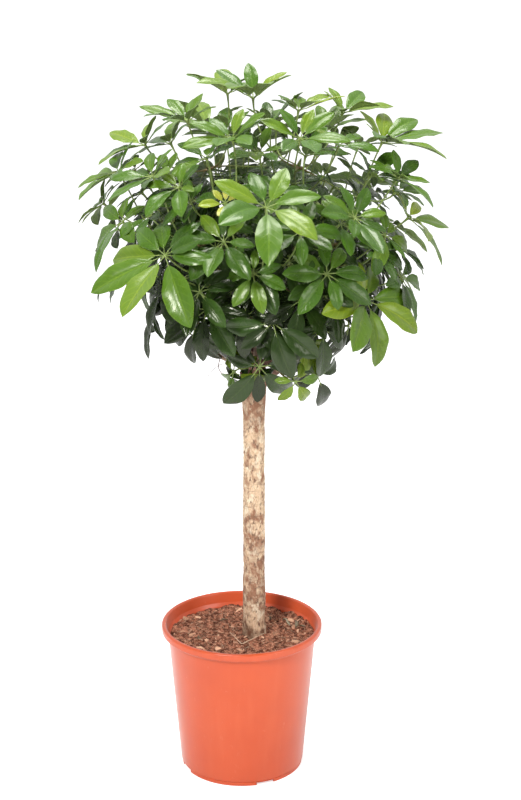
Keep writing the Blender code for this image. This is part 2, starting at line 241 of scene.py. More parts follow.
def new_group(name, inputs, outputs):
    """A shader node group. Inputs and outputs are (name, socket type, default) and (name, type)."""
    group = bpy.data.node_groups.new(name, "ShaderNodeTree")
    for label, kind, default in inputs:
        socket = group.interface.new_socket(label, in_out="INPUT", socket_type=kind)
        socket.default_value = default
    for label, kind in outputs:
        group.interface.new_socket(label, in_out="OUTPUT", socket_type=kind)
    start = group.nodes.new("NodeGroupInput")
    end = group.nodes.new("NodeGroupOutput")
    return group, start, end


def mottle_group():
    """Patches at one scale, stretched along an axis, with soft or hard borders."""
    group, start, end = new_group(
        "mottle",
        [
            ("Stretch", "NodeSocketVector", (1, 1, 1)),
            ("Scale", "NodeSocketFloat", 40.0),
            ("Detail", "NodeSocketFloat", 4.0),
            ("Twist", "NodeSocketFloat", 0.0),
            ("Low", "NodeSocketFloat", 0.4),
            ("High", "NodeSocketFloat", 0.6),
        ],
        [("Mask", "NodeSocketFloat"), ("Raw", "NodeSocketFloat")],
    )
    place = add_node(group, "ShaderNodeTexCoord").outputs["Object"]
    factors = {0: place, 1: start.outputs["Stretch"]}
    stretched = add_node(group, "ShaderNodeVectorMath", factors, operation="MULTIPLY")
    cloud = add_node(
        group,
        "ShaderNodeTexNoise",
        {
            "Vector": stretched.outputs[0],
            "Scale": start.outputs["Scale"],
            "Detail": start.outputs["Detail"],
            "Distortion": start.outputs["Twist"],
        },
    )
    raw = cloud.outputs["Fac"]
    mask = remap(group, raw, start.outputs["Low"], start.outputs["High"], smooth=True)
    group.links.new(mask, end.inputs["Mask"])
    group.links.new(raw, end.inputs["Raw"])
    return group


MOTTLE = mottle_group()


def mottle(tree, scale, low=0.4, high=0.6, detail=4.0, stretch=(1, 1, 1), twist=0.0):
    """The mottle group placed in a material; gives its mask and its raw cloud."""
    values = {"Stretch": stretch, "Scale": scale, "Detail": detail, "Twist": twist}
    values.update(Low=low, High=high)
    node = add_node(tree, "ShaderNodeGroup", values, node_tree=MOTTLE)
    return node.outputs["Mask"], node.outputs["Raw"]


def new_material(name, roughness, **constants):
    """A material with an empty Principled BSDF; gives the material, its tree and its shader."""
    material = bpy.data.materials.new(name)
    material.use_nodes = True
    tree = material.node_tree
    shader = tree.nodes["Principled BSDF"]
    shader.inputs["Roughness"].default_value = roughness
    for key, value in constants.items():
        shader.inputs[key.replace("_", " ")].default_value = value
    return material, tree, shader


def raise_surface(tree, shader, height, strength, distance):
    """Bump from a height between 0 and 1, which stands for this distance in metres."""
    values = {"Height": height, "Strength": strength, "Distance": distance}
    bump = add_node(tree, "ShaderNodeBump", values)
    tree.links.new(bump.outputs["Normal"], shader.inputs["Normal"])


def pot_plastic():
    """Satin polypropylene: faint flow streaks up the wall, scuffs, and soil dust low down."""
    material, tree, shader = new_material(
        "terracotta_plastic", 0.30, IOR=1.52, Sheen_Weight=0.60, Sheen_Roughness=0.30
    )
    cloud, _ = mottle(tree, 9.0, 0.35, 0.7)
    streaks, streak_raw = mottle(tree, 60.0, 0.45, 0.75, 3.0, (1, 1, 0.06))
    scuffs, _ = mottle(tree, 210.0, 0.66, 0.74, 5.0, (1, 1, 0.35), 0.8)
    _, grain = mottle(tree, 900.0, 0.3, 0.7, 2.0)
    colour = blend_colours(tree, cloud, (0.675, 0.104, 0.032, 1), (0.63, 0.092, 0.028, 1))
    colour = overlay(tree, colour, streaks, 0.10, (0.78, 0.19, 0.08, 1))
    colour = overlay(tree, colour, scuffs, 0.20, (0.78, 0.30, 0.18, 1))
    low_down = remap(tree, object_height(tree), DUST_HEIGHT, 0.0, smooth=True)
    dust, _ = mottle(tree, 130.0, 0.42, 0.66, 6.0)
    dusty = calculate(tree, "MULTIPLY", low_down, dust)
    colour = overlay(tree, colour, dusty, 0.10, (0.30, 0.13, 0.07, 1))
    tree.links.new(colour, shader.inputs["Base Color"])
    rough = remap(tree, streak_raw, 0.3, 0.7, 0.29, 0.34)
    rough = calculate(tree, "ADD", rough, calculate(tree, "MULTIPLY", scuffs, 0.08))
    tree.links.new(rough, shader.inputs["Roughness"])
    raise_surface(tree, shader, grain, 0.05, 0.0002)
    return material


pot_corners = [
    (0, 0, 0),
    (PAD_RADIUS, 0, 0.0006),
    (PAD_RADIUS + 0.004, CHANNEL_HEIGHT, 0.0010),
    (FOOT_INSIDE, CHANNEL_HEIGHT, 0.0010),
    (FOOT_INSIDE + 0.003, 0, 0.0006),
    (FOOT_RADIUS - FOOT_STEP, 0, 0.0006),
    (FOOT_RADIUS - FOOT_STEP, FOOT_BAND - 0.0008, 0.0003),
    (FOOT_RADIUS - 2.6 * FOOT_STEP, FOOT_BAND + 0.0002, 0.0002),
    (body_radius(FOOT_BAND + FOOT_STEP), FOOT_BAND + FOOT_STEP, 0.0004),
    (SHOULDER_RADIUS, SHOULDER_HEIGHT, 0.0060),
    (SHOULDER_RADIUS + 0.0035, POT_HEIGHT - 0.0135, 0.0025),
    (RIM_OPENING + 0.0012, POT_HEIGHT - 0.0080, 0.0020),
    (RIM_RADIUS - 0.0028, POT_HEIGHT - 0.0048, 0.0012),
    (RIM_RADIUS - 0.0016, POT_HEIGHT - 0.0120, 0.0005),
    (RIM_RADIUS, POT_HEIGHT - 0.0115, 0.0006),
    (RIM_RADIUS, POT_HEIGHT, 0.0034),
    (RIM_OPENING, POT_HEIGHT, 0.0030),
    (SHOULDER_RADIUS + 0.0010, SHOULDER_HEIGHT + 0.0020, 0.0040),
    (SHOULDER_RADIUS - WALL, SHOULDER_HEIGHT - 0.0040, 0.0060),
    (body_radius(CHANNEL_HEIGHT + WALL) - WALL, CHANNEL_HEIGHT + WALL, 0.0030),
    (PAD_RADIUS + 0.0046, CHANNEL_HEIGHT + WALL, 0.0008),
    (PAD_RADIUS + 0.0006, WALL, 0.0008),
    (0, WALL, 0),
]


def drain_shapes():
    """The blocks and rods that the mould's cores leave: four notches and eight drain holes."""
    shape = bmesh.new()
    for i in range(NOTCHES):
        turn = Matrix.Rotation(FIRST_NOTCH + math.tau * i / NOTCHES, 4, "Z")
        place = Matrix.Translation((FOOT_INSIDE - 0.001 + NOTCH_REACH / 2, 0, 0))
        size = Matrix.Diagonal((NOTCH_REACH, NOTCH_WIDTH, 2 * NOTCH_HEIGHT, 1))
        bmesh.ops.create_cube(shape, size=1.0, matrix=turn @ place @ size)
    for i in range(DRAINS):
        angle = FIRST_NOTCH + math.tau * (i + 0.5) / DRAINS
        x, y = DRAIN_CIRCLE * math.cos(angle), DRAIN_CIRCLE * math.sin(angle)
        bmesh.ops.create_cone(
            shape,
            cap_ends=True,
            segments=32,
            radius1=DRAIN_RADIUS,
            radius2=DRAIN_RADIUS,
            depth=6 * WALL,
            matrix=Matrix.Translation((x, y, CHANNEL_HEIGHT)),
        )
    mesh = bpy.data.meshes.new("drain_shapes")
    shape.to_mesh(mesh)
    shape.free()
    cutter = bpy.data.objects.new("drain_shapes", mesh)
    bpy.context.scene.collection.objects.link(cutter)
    return cutter


nursery_pot = add_piece(
    "nursery_pot", *turned(rounded(pot_corners), POT_SEGMENTS), [pot_plastic()], sharp_degrees=32
)
cut_out(nursery_pot, drain_shapes())
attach(nursery_pot, "root")
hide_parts("pot")

# ---------------------------------------------------------------- the soil
# Peat-based potting mix with the root ball in it, filled to 2.5 cm below the rim. It is
# crumbly, a little higher round the stem, and it has drawn back from the wall here and there.
soil_low, soil_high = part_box("soil")
SOIL_MOUND = 0.0045
SOIL_TOP = soil_high.z - SOIL_MOUND
SOIL_FLOOR = soil_low.z
stem_low, stem_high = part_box("stem")
STEM_X = (stem_low.x + stem_high.x) / 2
SOIL_RINGS, SOIL_SPOKES = 84, 288


def clods(x, y):
    """The height of the crumbled surface above its mean, from clods down to grains."""
    coarse = noise.fractal(Vector((x * 28, y * 28, 1.7)), 0.9, 2.0, 3)
    lumps = noise.turbulence(Vector((x * 75, y * 75, 5.1)), 3, False)
    grains = noise.turbulence(Vector((x * 230, y * 230, 9.3)), 3, True)
    return 0.0018 * coarse + 0.0046 * (lumps - 0.35) + 0.0022 * grains


def soil_height(x, y):
    """The surface's height: a mound round the stem, a hollow on its left, and the clods."""
    from_stem = math.hypot(x - STEM_X, y)
    mound = 0.0042 * math.exp(-((from_stem / 0.055) ** 2))
    hollow = math.hypot(x - STEM_X + 0.030, y - 0.004) / 0.012
    mound -= 0.0070 * math.exp(-(hollow**2))
    return SOIL_TOP + 0.0005 + mound + clods(x, y)


def soil_mesh():
    """The soil as one closed shell: the crumbled surface, piled at the wall, and a plain body."""
    points, rings = [], []
    wall = inside_wall(SOIL_TOP) + 0.0009
    add_pole(points, rings, (0, 0, soil_height(0, 0)), SOIL_SPOKES)
    for k in range(1, SOIL_RINGS + 1):
        radius = wall * math.sqrt(k / SOIL_RINGS)
        edge = max(0.0, (radius - 0.80 * wall) / (0.20 * wall))
        ring = []
        for i in range(SOIL_SPOKES):
            angle = math.tau * (i + 0.5 * (k % 2)) / SOIL_SPOKES
            x, y = radius * math.cos(angle), radius * math.sin(angle)
            piled = 0.0022 + 0.0010 * math.cos(angle + 0.5)
            ring.append((x, y, soil_height(x, y) + piled * edge * edge))
        add_ring(points, rings, ring)
    for radius, height in (
        (inside_wall(SOIL_TOP) - 0.0006, SOIL_TOP - 0.003),
        (inside_wall(0.12) - 0.0006, 0.12),
        (inside_wall(SOIL_FLOOR + 0.004) - 0.0006, SOIL_FLOOR + 0.004),
        (inside_wall(SOIL_FLOOR) - 0.0040, SOIL_FLOOR),
    ):
        add_ring(points, rings, circle(radius, height, SOIL_SPOKES))
    add_pole(points, rings, (0, 0, SOIL_FLOOR), SOIL_SPOKES)
    return points, skin(rings)


def crumb_material(name, dark, middle, light, toned=False):
    """Dry, matt plant matter in three browns, with painted shade in the gaps between crumbs.

    A toned one shifts with each bit's own tone.
    """
    material, tree, shader = new_material(name, 0.92, Specular_IOR_Level=0.25)
    patches, _ = mottle(tree, 140.0, 0.38, 0.62, 6.0)
    specks, _ = mottle(tree, 520.0, 0.58, 0.70, 4.0)
    _, crumbs = mottle(tree, 330.0, 0.3, 0.7, 6.0)
    # painted shade: the gaps between the crumbs are darkened as if in shadow
    shaded_gaps = remap(tree, crumbs, 0.52, 0.40, smooth=True)
    colour = blend_colours(tree, patches, (*dark, 1), (*middle, 1))
    colour = overlay(tree, colour, shaded_gaps, 0.6, (0.30, 0.24, 0.22, 1), "MULTIPLY")
    colour = blend_colours(tree, specks, colour, (*light, 1))
    if toned:
        colour = blend_colours(tree, own_tone(tree), colour, (*light, 1))
    tree.links.new(colour, shader.inputs["Base Color"])
    _, fine = mottle(tree, 900.0, 0.3, 0.7, 5.0)
    raise_surface(tree, shader, fine, 0.8, 0.0008)
    return material


soil_finish = crumb_material(
    "potting_mix", (0.120, 0.040, 0.022), (0.480, 0.200, 0.118), (0.76, 0.45, 0.30)
)
potting_mix = add_piece("potting_mix", *soil_mesh(), [soil_finish], sharp_degrees=180)
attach(potting_mix, "root")
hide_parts("soil")

# ---------------------------------------------------------------- bark chips and straw
# Composted bark in the mix shows as reddish-brown chips on top, with straw, root fibres, one
# pale twig with a bend, and a few curled strips of old leaf sheath.
CHIPS, FIBRES = 760, 190
CLEAR_OF_STEM, CLEAR_OF_WALL = 0.024, 0.006
litter = random.Random(11)


def on_soil():
    """A random place on the soil, clear of the stem."""
    while True:
        radius = (inside_wall(SOIL_TOP) - CLEAR_OF_WALL) * math.sqrt(litter.random())
        angle = litter.uniform(0, math.tau)
        x, y = radius * math.cos(angle), radius * math.sin(angle)
        if math.hypot(x - STEM_X, y) > CLEAR_OF_STEM:
            return x, y


class Growth:
    """Points and faces of the shells that make up one piece, with what their finish needs."""

    def __init__(self):
        self.points, self.faces, self.finishes, self.tones, self.places = [], [], [], [], []

    def add(self, points, faces, finish=0, tone=0.5, places=None):
        first = len(self.points)
        self.points += [tuple(point) for point in points]
        self.faces += [tuple(first + corner for corner in face) for face in faces]
        self.finishes += [finish] * len(faces)
        self.tones += [tone] * len(points) if isinstance(tone, (int, float)) else list(tone)
        self.places += places if places is not None else [(0.0, 0.5)] * len(points)

    def piece(self, name, materials, sharp_degrees=60, outwards=True):
        """One object of all that was added, with each point's tone and place on its blade."""
        mesh = bpy.data.meshes.new(name)
        mesh.from_pydata(self.points, [], self.faces)
        mesh.polygons.foreach_set("material_index", self.finishes)
        if outwards:
            turn_outwards(mesh)
        tones = mesh.attributes.new("tone", "FLOAT", "POINT")
        tones.data.foreach_set("value", np.array(self.tones, np.float32))
        layer = mesh.uv_layers.new(name="blade")
        corners = np.zeros(len(mesh.loops), np.int32)
        mesh.loops.foreach_get("vertex_index", corners)
        layer.data.foreach_set("uv", np.array(self.places, np.float32)[corners].ravel())
        return put_in_scene(name, mesh, materials, sharp_degrees)


def chip_shape(size):
    """An irregular flat chunk: a coarse ball, flattened, with its corners pulled about."""
    shape = bmesh.new()
    bmesh.ops.create_icosphere(shape, subdivisions=2, radius=1.0)
    pull = Vector([litter.uniform(0, 90) for _ in range(3)])
    slender = litter.uniform(0.30, 0.62)
    for corner in shape.verts:
        corner.co *= 1 + 0.75 * noise.noise(corner.co * 1.6 + pull)
        corner.co.x *= size
        corner.co.y *= size * slender
        corner.co.z = size * 0.20 * math.copysign(abs(corner.co.z) ** 0.4, corner.co.z)
    points = [corner.co.copy() for corner in shape.verts]
    faces = [tuple(corner.index for corner in face.verts) for face in shape.faces]
    shape.free()
    return points, faces


def chip_growth():
    """Chips of every size strewn on the soil, most of them small and dark."""
    growth = Growth()
    for _ in range(CHIPS):
        size = 0.0011 + 0.0060 * litter.random() ** 3.0
        points, faces = chip_shape(size)
        x, y = on_soil()
        turn = (
            Matrix.Rotation(litter.uniform(0, math.tau), 3, "Z")
            @ Matrix.Rotation(litter.gauss(0, 0.45), 3, "X")
            @ Matrix.Rotation(litter.gauss(0, 0.30), 3, "Y")
        )
        place = Vector((x, y, soil_height(x, y) + 0.25 * size))
        growth.add([turn @ point + place for point in points], faces, 0, litter.random() ** 3)
    return growth


def across(direction, guide):
    """The unit vector square to the direction that is closest to the guide."""
    return (guide - direction * guide.dot(direction)).normalized()


def capped(rings):
    return skin(rings) + [tuple(reversed(rings[0])), tuple(rings[-1])]


def tube(centres, radii, sides, flatten=1.0):
    """A closed tube through the centres, with a radius at each, carried along without twisting."""
    centres = [Vector(centre) for centre in centres]
    directions = []
    for i in range(len(centres)):
        ahead = centres[min(i + 1, len(centres) - 1)]
        behind = centres[max(i - 1, 0)]
        directions.append((ahead - behind).normalized())
    guide = Vector((0, 0, 1)) if abs(directions[0].z) < 0.8 else Vector((1, 0, 0))
    points, rings = [], []
    for centre, radius, direction in zip(centres, radii, directions):
        guide = across(direction, guide)
        other = direction.cross(guide)
        ring = []
        for k in range(sides):
            angle = math.tau * k / sides
            out = guide * (flatten * math.cos(angle)) + other * math.sin(angle)
            ring.append(centre + out * radius)
        add_ring(points, rings, ring)
    return points, capped(rings)


def fibre_growth():
    """Short curled fibres on the soil, and one bent twig."""
    growth = Growth()
    outer, inner = 0.112, 0.020
    for _ in range(FIBRES):
        x, y = on_soil()
        length = 0.004 + 0.020 * litter.random() ** 2
        heading = litter.uniform(0, math.tau)
        curl = litter.gauss(0, 55) * 0.6
        radius = litter.uniform(0.00022, 0.00055)
        centres = []
        stride = length / 6
        for _ in range(7):
            if math.hypot(x, y) > outer or math.hypot(x - STEM_X, y) < inner:
                break
            centres.append((x, y, soil_height(x, y) + litter.uniform(0.0008, 0.0018)))
            x += math.cos(heading) * stride
            y += math.sin(heading) * stride
            heading += curl * stride
        if len(centres) > 2:
            radii = [radius] * (len(centres) - 1) + [0.5 * radius]
            growth.add(*tube(centres, radii, 5, 0.5), 0, litter.uniform(0.0, 0.9))
    # the pale twig with a bend, in front of the stem
    twig = (
        (-0.0199, -0.0075, 0.0075, 0.0006),
        (-0.0090, -0.0300, 0.0067, 0.0007),
        (-0.0005, -0.0490, 0.0061, 0.0008),
        (0.0030, -0.0480, 0.0063, 0.0008),
        (0.0210, -0.0320, 0.0085, 0.0007),
        (0.0414, -0.0134, 0.0110, 0.0004),
    )
    line = [(x, y, SOIL_TOP + lift) for x, y, lift, _ in twig]
    growth.add(*tube(line, [radius for *_, radius in twig], 8), 0, 1.0)
    return growth


def slab(top, under, rows, columns):
    """A thin closed sheet from two grids of points, row by row."""
    faces = []
    count = rows * columns
    for i in range(rows - 1):
        for j in range(columns - 1):
            a = i * columns + j
            faces.append((a, a + 1, a + columns + 1, a + columns))
            b = a + count
            faces.append((b, b + columns, b + columns + 1, b + 1))
    for i in range(rows - 1):
        for j, flip in ((0, False), (columns - 1, True)):
            a, b = i * columns + j, (i + 1) * columns + j
            side = (a, b, b + count, a + count)
            faces.append(side[::-1] if flip else side)
    for i, flip in ((0, True), (rows - 1, False)):
        for j in range(columns - 1):
            a, b = i * columns + j, i * columns + j + 1
            side = (a, b, b + count, a + count)
            faces.append(side[::-1] if flip else side)
    return list(top) + list(under), faces


def strip_growth():
    """Curled, dry strips: thin ribbons bent along their length and across it."""
    growth = Growth()
    rows, columns = 13, 5
    half_width, thickness = 0.0026, 0.0004
    # each strip's place, length, heading, curl and tone
    strips = (
        (0.077, 0.047, 0.026, 1.9, 0.9, 0.80),
        (0.100, 0.026, 0.022, 0.4, 0.5, 0.55),
        (0.095, 0.036, 0.017, 1.2, 0.8, 0.35),
        (0.050, 0.060, 0.014, 1.4, 1.0, 0.15),
        (-0.030, 0.050, 0.014, 0.4, 0.8, 0.15),
        (-0.072, -0.018, 0.013, 2.2, 1.1, 0.10),
    )
    for x, y, length, heading, curl, tone in strips:
        along = Vector((math.cos(heading), math.sin(heading), 0))
        across_it = Vector((-along.y, along.x, 0))
        top, under = [], []
        for i in range(rows):
            share = i / (rows - 1)
            arch = math.sin(math.pi * share) * 0.22 * length * curl
            width = half_width * math.sin(math.pi * (0.1 + 0.8 * share)) ** 0.6
            for j in range(columns):
                side = 2 * j / (columns - 1) - 1
                place = Vector((x, y, 0)) + along * length * (share - 0.5)
                place += across_it * (side * width + 0.003 * math.sin(2.2 * share * curl))
                up = soil_height(place.x, place.y) + 0.0014 + arch + 0.0016 * side * side * curl
                top.append(Vector((place.x, place.y, up)))
                under.append(Vector((place.x, place.y, up - thickness)))
        growth.add(*slab(top, under, rows, columns), 0, tone)
    return growth


chip_finish = crumb_material(
    "composted_bark", (0.19, 0.065, 0.038), (0.56, 0.235, 0.138), (0.88, 0.54, 0.35), True
)
straw_finish = crumb_material(
    "straw", (0.20, 0.105, 0.055), (0.32, 0.18, 0.10), (0.66, 0.48, 0.33), True
)
sheath_finish = crumb_material(
    "dry_sheath", (0.15, 0.09, 0.055), (0.22, 0.16, 0.10), (0.42, 0.38, 0.27), True
)
for made in (
    chip_growth().piece("bark_chips", [chip_finish], 24),
    fibre_growth().piece("straw_and_twig", [straw_finish]),
    strip_growth().piece("dry_strips", [sheath_finish]),
):
    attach(made, "root")

# ---------------------------------------------------------------- the stem
# One bare woody stem, as thick as a broom handle, whose thin bark has flaked into cream and
# grey-brown patches. Old leaf scars ring it. The top was cut back, and it healed into a knobby
# head of red-brown bark, which the shoots and one wiry aerial root spring from.
STEM_RADIUS, BURIED_RADIUS, HEAD_RADIUS = 0.0183, 0.0205, 0.0250
STEM_SIDES, STEM_STEP, BURIED_STEP = 96, 0.0022, 0.010
SCAR_SPACING = 0.0190
SUMMIT_RADIUS = 0.030


def head_radius(height):
    """The radius of the head, an egg-shaped swelling with this middle and half height."""
    middle, half_height = 0.732, 0.072
    return HEAD_RADIUS * math.sqrt(max(0.0, 1 - 0.35 * ((height - middle) / half_height) ** 2))


def stem_radius(height):
    """The stem's radius by height, without its bark's relief."""
    stations = (
        (stem_low.z, 0.0150),
        (stem_low.z + 0.012, BURIED_RADIUS),
        (SOIL_TOP + 0.008, BURIED_RADIUS),
        (SOIL_TOP + 0.030, STEM_RADIUS + 0.0008),
        (0.300, STEM_RADIUS + 0.0013),
        (0.360, STEM_RADIUS),
        (0.450, STEM_RADIUS + 0.0004),
        (0.540, STEM_RADIUS - 0.0004),
        (0.620, STEM_RADIUS),
        (0.665, STEM_RADIUS + 0.0020),
        (0.695, head_radius(0.695)),
    )
    if height >= stations[-1][0]:
        depth = stem_high.z - height
        summit = math.sqrt(max(0.0, depth * (2 * SUMMIT_RADIUS - depth)))
        return min(head_radius(height), summit + 0.001)
    for (low, first), (high, second) in zip(stations, stations[1:]):
        if height <= high:
            share = (height - low) / (high - low)
            share = share * share * (3 - 2 * share)
            return first + (second - first) * share


def bark_relief(angle, height):
    """How far the bark stands proud: broad fluting, flaked plates, leaf scars and fine cracks."""
    round_it = Vector((math.cos(angle), math.sin(angle), 0))
    plates = noise.noise(Vector((round_it.x * 1.6, round_it.y * 1.6, height * 38)))
    plates = max(-0.18, min(0.18, plates * 1.6)) / 0.18
    fluting = noise.noise(Vector((round_it.x * 1.1, round_it.y * 1.1, height * 9 + 4)))
    fine = noise.turbulence(Vector((round_it.x * 7, round_it.y * 7, height * 240)), 3, False)
    slope = 0.006 * math.sin(angle + 9 * height)
    scar_phase = ((height + slope) / SCAR_SPACING) % 1
    broken = noise.noise(Vector((round_it.x * 2.3, round_it.y * 2.3, height * 52 + 30)))
    scar = math.exp(-(((scar_phase - 0.5) / 0.06) ** 2)) * max(0.0, broken + 0.05)
    knobs = 0.0
    if height > 0.66:
        swell = min(1.0, (height - 0.66) / 0.04)
        lump = noise.noise(Vector((round_it.x * 2.4, round_it.y * 2.4, height * 60 + 8)))
        knobs = swell * 0.0022 * lump
    return 0.0007 * fluting + 0.00028 * plates + 0.0010 * scar - 0.0005 * fine + knobs


def stem_mesh():
    """The stem in rings, close together where it shows, and coarse where it is buried."""
    points, rings = [], []
    height = stem_low.z
    while height < stem_high.z - 0.0008:
        ring = []
        for i in range(STEM_SIDES):
            angle = math.tau * i / STEM_SIDES
            radius = stem_radius(height) + bark_relief(angle, height) - 0.0004
            radius = max(radius, 0.0008)
            ring.append((STEM_X + radius * math.cos(angle), radius * math.sin(angle), height))
        add_ring(points, rings, ring)
        height += STEM_STEP if height > SOIL_TOP - 0.01 else BURIED_STEP
    return points, capped(rings)


def bark_material():
    """Cream and grey-brown flakes on the stem, turning red-brown in the head.

    The stem is palest in its upper half and at its foot.
    """
    material, tree, shader = new_material("flaking_bark", 0.78, Specular_IOR_Level=0.3)
    _, patch_raw = mottle(tree, 62.0, 0.40, 0.60, 9.0, (1, 1, 0.7), 0.25)
    cream, _ = mottle(tree, 130.0, 0.53, 0.60, 9.0, (1, 1, 0.6), 0.3)
    flakes, _ = mottle(tree, 80.0, 0.55, 0.64, 9.0, (1, 1, 0.7), 0.25)
    grain, _ = mottle(tree, 480.0, 0.36, 0.62, 5.0, (1, 1, 0.35))
    wander = remap(tree, patch_raw, 0.3, 0.7, -0.030, 0.030)
    height = calculate(tree, "ADD", object_height(tree), wander)
    upper = remap(tree, height, 0.410, 0.460, smooth=True)
    under_head = remap(tree, height, 0.625, 0.585, smooth=True)
    foot = remap(tree, height, 0.305, 0.275, smooth=True)
    pale = calculate(tree, "MAXIMUM", calculate(tree, "MULTIPLY", upper, under_head), foot)
    pale_patch = calculate(tree, "ADD", patch_raw, calculate(tree, "MULTIPLY", pale, 0.13))
    patches = remap(tree, pale_patch, 0.44, 0.68, smooth=True)
    grey, _ = mottle(tree, 210.0, 0.50, 0.70, 8.0, (1, 1, 0.6))
    dots, _ = mottle(tree, 620.0, 0.60, 0.70, 5.0, (1, 1, 0.9))
    rings, ring_raw = mottle(tree, 260.0, 0.56, 0.68, 4.0, (0.18, 0.18, 1))
    colour = blend_colours(tree, patches, (0.35, 0.180, 0.108, 1), (0.77, 0.575, 0.390, 1))
    colour = blend_colours(tree, grey, colour, (0.20, 0.115, 0.078, 1))
    colour = overlay(tree, colour, cream, 0.55, (0.76, 0.61, 0.43, 1))
    flaked = calculate(tree, "MULTIPLY", flakes, remap(tree, pale, 0.0, 1.0, 0.35, 0.9))
    colour = blend_colours(tree, flaked, colour, (0.86, 0.74, 0.56, 1))
    colour = overlay(tree, colour, grain, 0.55, (0.62, 0.50, 0.42, 1), "MULTIPLY")
    colour = overlay(tree, colour, rings, 0.55, (0.24, 0.13, 0.085, 1))
    colour = overlay(tree, colour, dots, 0.50, (0.13, 0.075, 0.05, 1))
    in_head = remap(tree, height, 0.640, 0.700, smooth=True)
    red = blend_colours(tree, cream, (0.135, 0.040, 0.026, 1), (0.34, 0.115, 0.065, 1))
    red = blend_colours(tree, grey, red, (0.055, 0.022, 0.018, 1))
    colour = blend_colours(tree, in_head, colour, red)
    damp = remap(tree, height, SOIL_TOP + 0.030, SOIL_TOP, 0.0, 0.6, smooth=True)
    colour = blend_colours(tree, damp, colour, (0.16, 0.085, 0.05, 1), "MULTIPLY")
    tree.links.new(colour, shader.inputs["Base Color"])
    relief = calculate(tree, "ADD", calculate(tree, "MULTIPLY", cream, -0.5), ring_raw)
    raise_surface(tree, shader, relief, 0.7, 0.0009)
    return material


stem_bark = bark_material()
woody_stem = add_piece("woody_stem", *stem_mesh(), [stem_bark], sharp_degrees=180)
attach(woody_stem, "root")
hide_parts("stem")

root_line = [
    (STEM_X - 0.021, -0.010, 0.752),
    (STEM_X - 0.034, -0.020, 0.747),
    (STEM_X - 0.052, -0.026, 0.728),
    (STEM_X - 0.056, -0.028, 0.708),
    (STEM_X - 0.047, -0.026, 0.696),
    (STEM_X - 0.037, -0.024, 0.700),
    (STEM_X - 0.040, -0.022, 0.711),
    (STEM_X - 0.052, -0.022, 0.713),
    (STEM_X - 0.066, -0.026, 0.704),
    (STEM_X - 0.077, -0.030, 0.690),
]


def smooth_line(places, per_span=6):
    """A Catmull-Rom curve through the places."""
    places = [Vector(place) for place in places]
    line = []
    for i in range(len(places) - 1):
        a, b = places[max(i - 1, 0)], places[i]
        c, d = places[i + 1], places[min(i + 2, len(places) - 1)]
        for k in range(per_span):
            t = k / per_span
            square, cube = 2 * a - 5 * b + 4 * c - d, 3 * b - a - 3 * c + d
            line.append(0.5 * (2 * b + (c - a) * t + square * t**2 + cube * t**3))
    line.append(places[-1])
    return line


root_path = smooth_line(root_line)
root_radii = [0.00085 - 0.00055 * i / len(root_path) for i in range(len(root_path))]
aerial_root = add_piece("aerial_root", *tube(root_path, root_radii, 8), [stem_bark])
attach(aerial_root, "root")

# ---------------------------------------------------------------- the shoots
# Ten shoots from the head, woody and grey-brown below and green near the tip, ringed with the
# scars of old leaves, each ending in a pointed bud.
GAP = 0.0003
SHOOT_RINGS = 8
SHOOT_BASE_RADIUS, SHOOT_TIP_RADIUS = 0.0072, 0.0036
BUD_LENGTH, SHOOT_SCAR_SPACING = 0.016, 0.013
# where each shoot leaves the head, and where its tip is
Shoot = namedtuple("Shoot", "start_height x y z")
SHOOTS = [
    Shoot(0.735, -0.060, -0.110, 0.930),
    Shoot(0.715, -0.120, 0.000, 0.930),
    Shoot(0.755, -0.050, 0.030, 1.020),
    Shoot(0.715, 0.030, -0.130, 0.900),
    Shoot(0.695, 0.090, -0.090, 0.800),
    Shoot(0.745, 0.140, -0.110, 0.930),
    Shoot(0.715, 0.170, 0.000, 0.920),
    Shoot(0.765, 0.090, -0.010, 1.030),
    Shoot(0.735, -0.050, 0.120, 0.940),
    Shoot(0.755, 0.110, 0.120, 0.940),
]


def bezier(controls, t):
    """A point on a cubic curve and the curve's direction there."""
    a, b, c, d = controls
    s = 1 - t
    point = a * s**3 + b * (3 * s * s * t) + c * (3 * s * t * t) + d * t**3
    slope = (b - a) * (s * s) + (c - b) * (2 * s * t) + (d - c) * (t * t)
    return point, slope.normalized()


def shoot_path(shoot):
    """The shoot's curve, out of the head and then upwards, as four control points."""
    tip = Vector((shoot.x, shoot.y, shoot.z))
    centre = Vector((STEM_X, 0, shoot.start_height))
    outward = Vector((tip.x - centre.x, tip.y, 0)).normalized()
    widest = max(head_radius(shoot.start_height + k * SHOOT_BASE_RADIUS) for k in (-1, 0, 1))
    start = centre + outward * (widest + GAP)
    length = (tip - start).length
    leaning = (Vector((outward.x, outward.y, 0)) * 0.35 + Vector((0, 0, 1))).normalized()
    return start, start + outward * (0.28 * length), tip - leaning * (0.40 * length), tip


def shoot_radius(t):
    return SHOOT_BASE_RADIUS + (SHOOT_TIP_RADIUS - SHOOT_BASE_RADIUS) * t


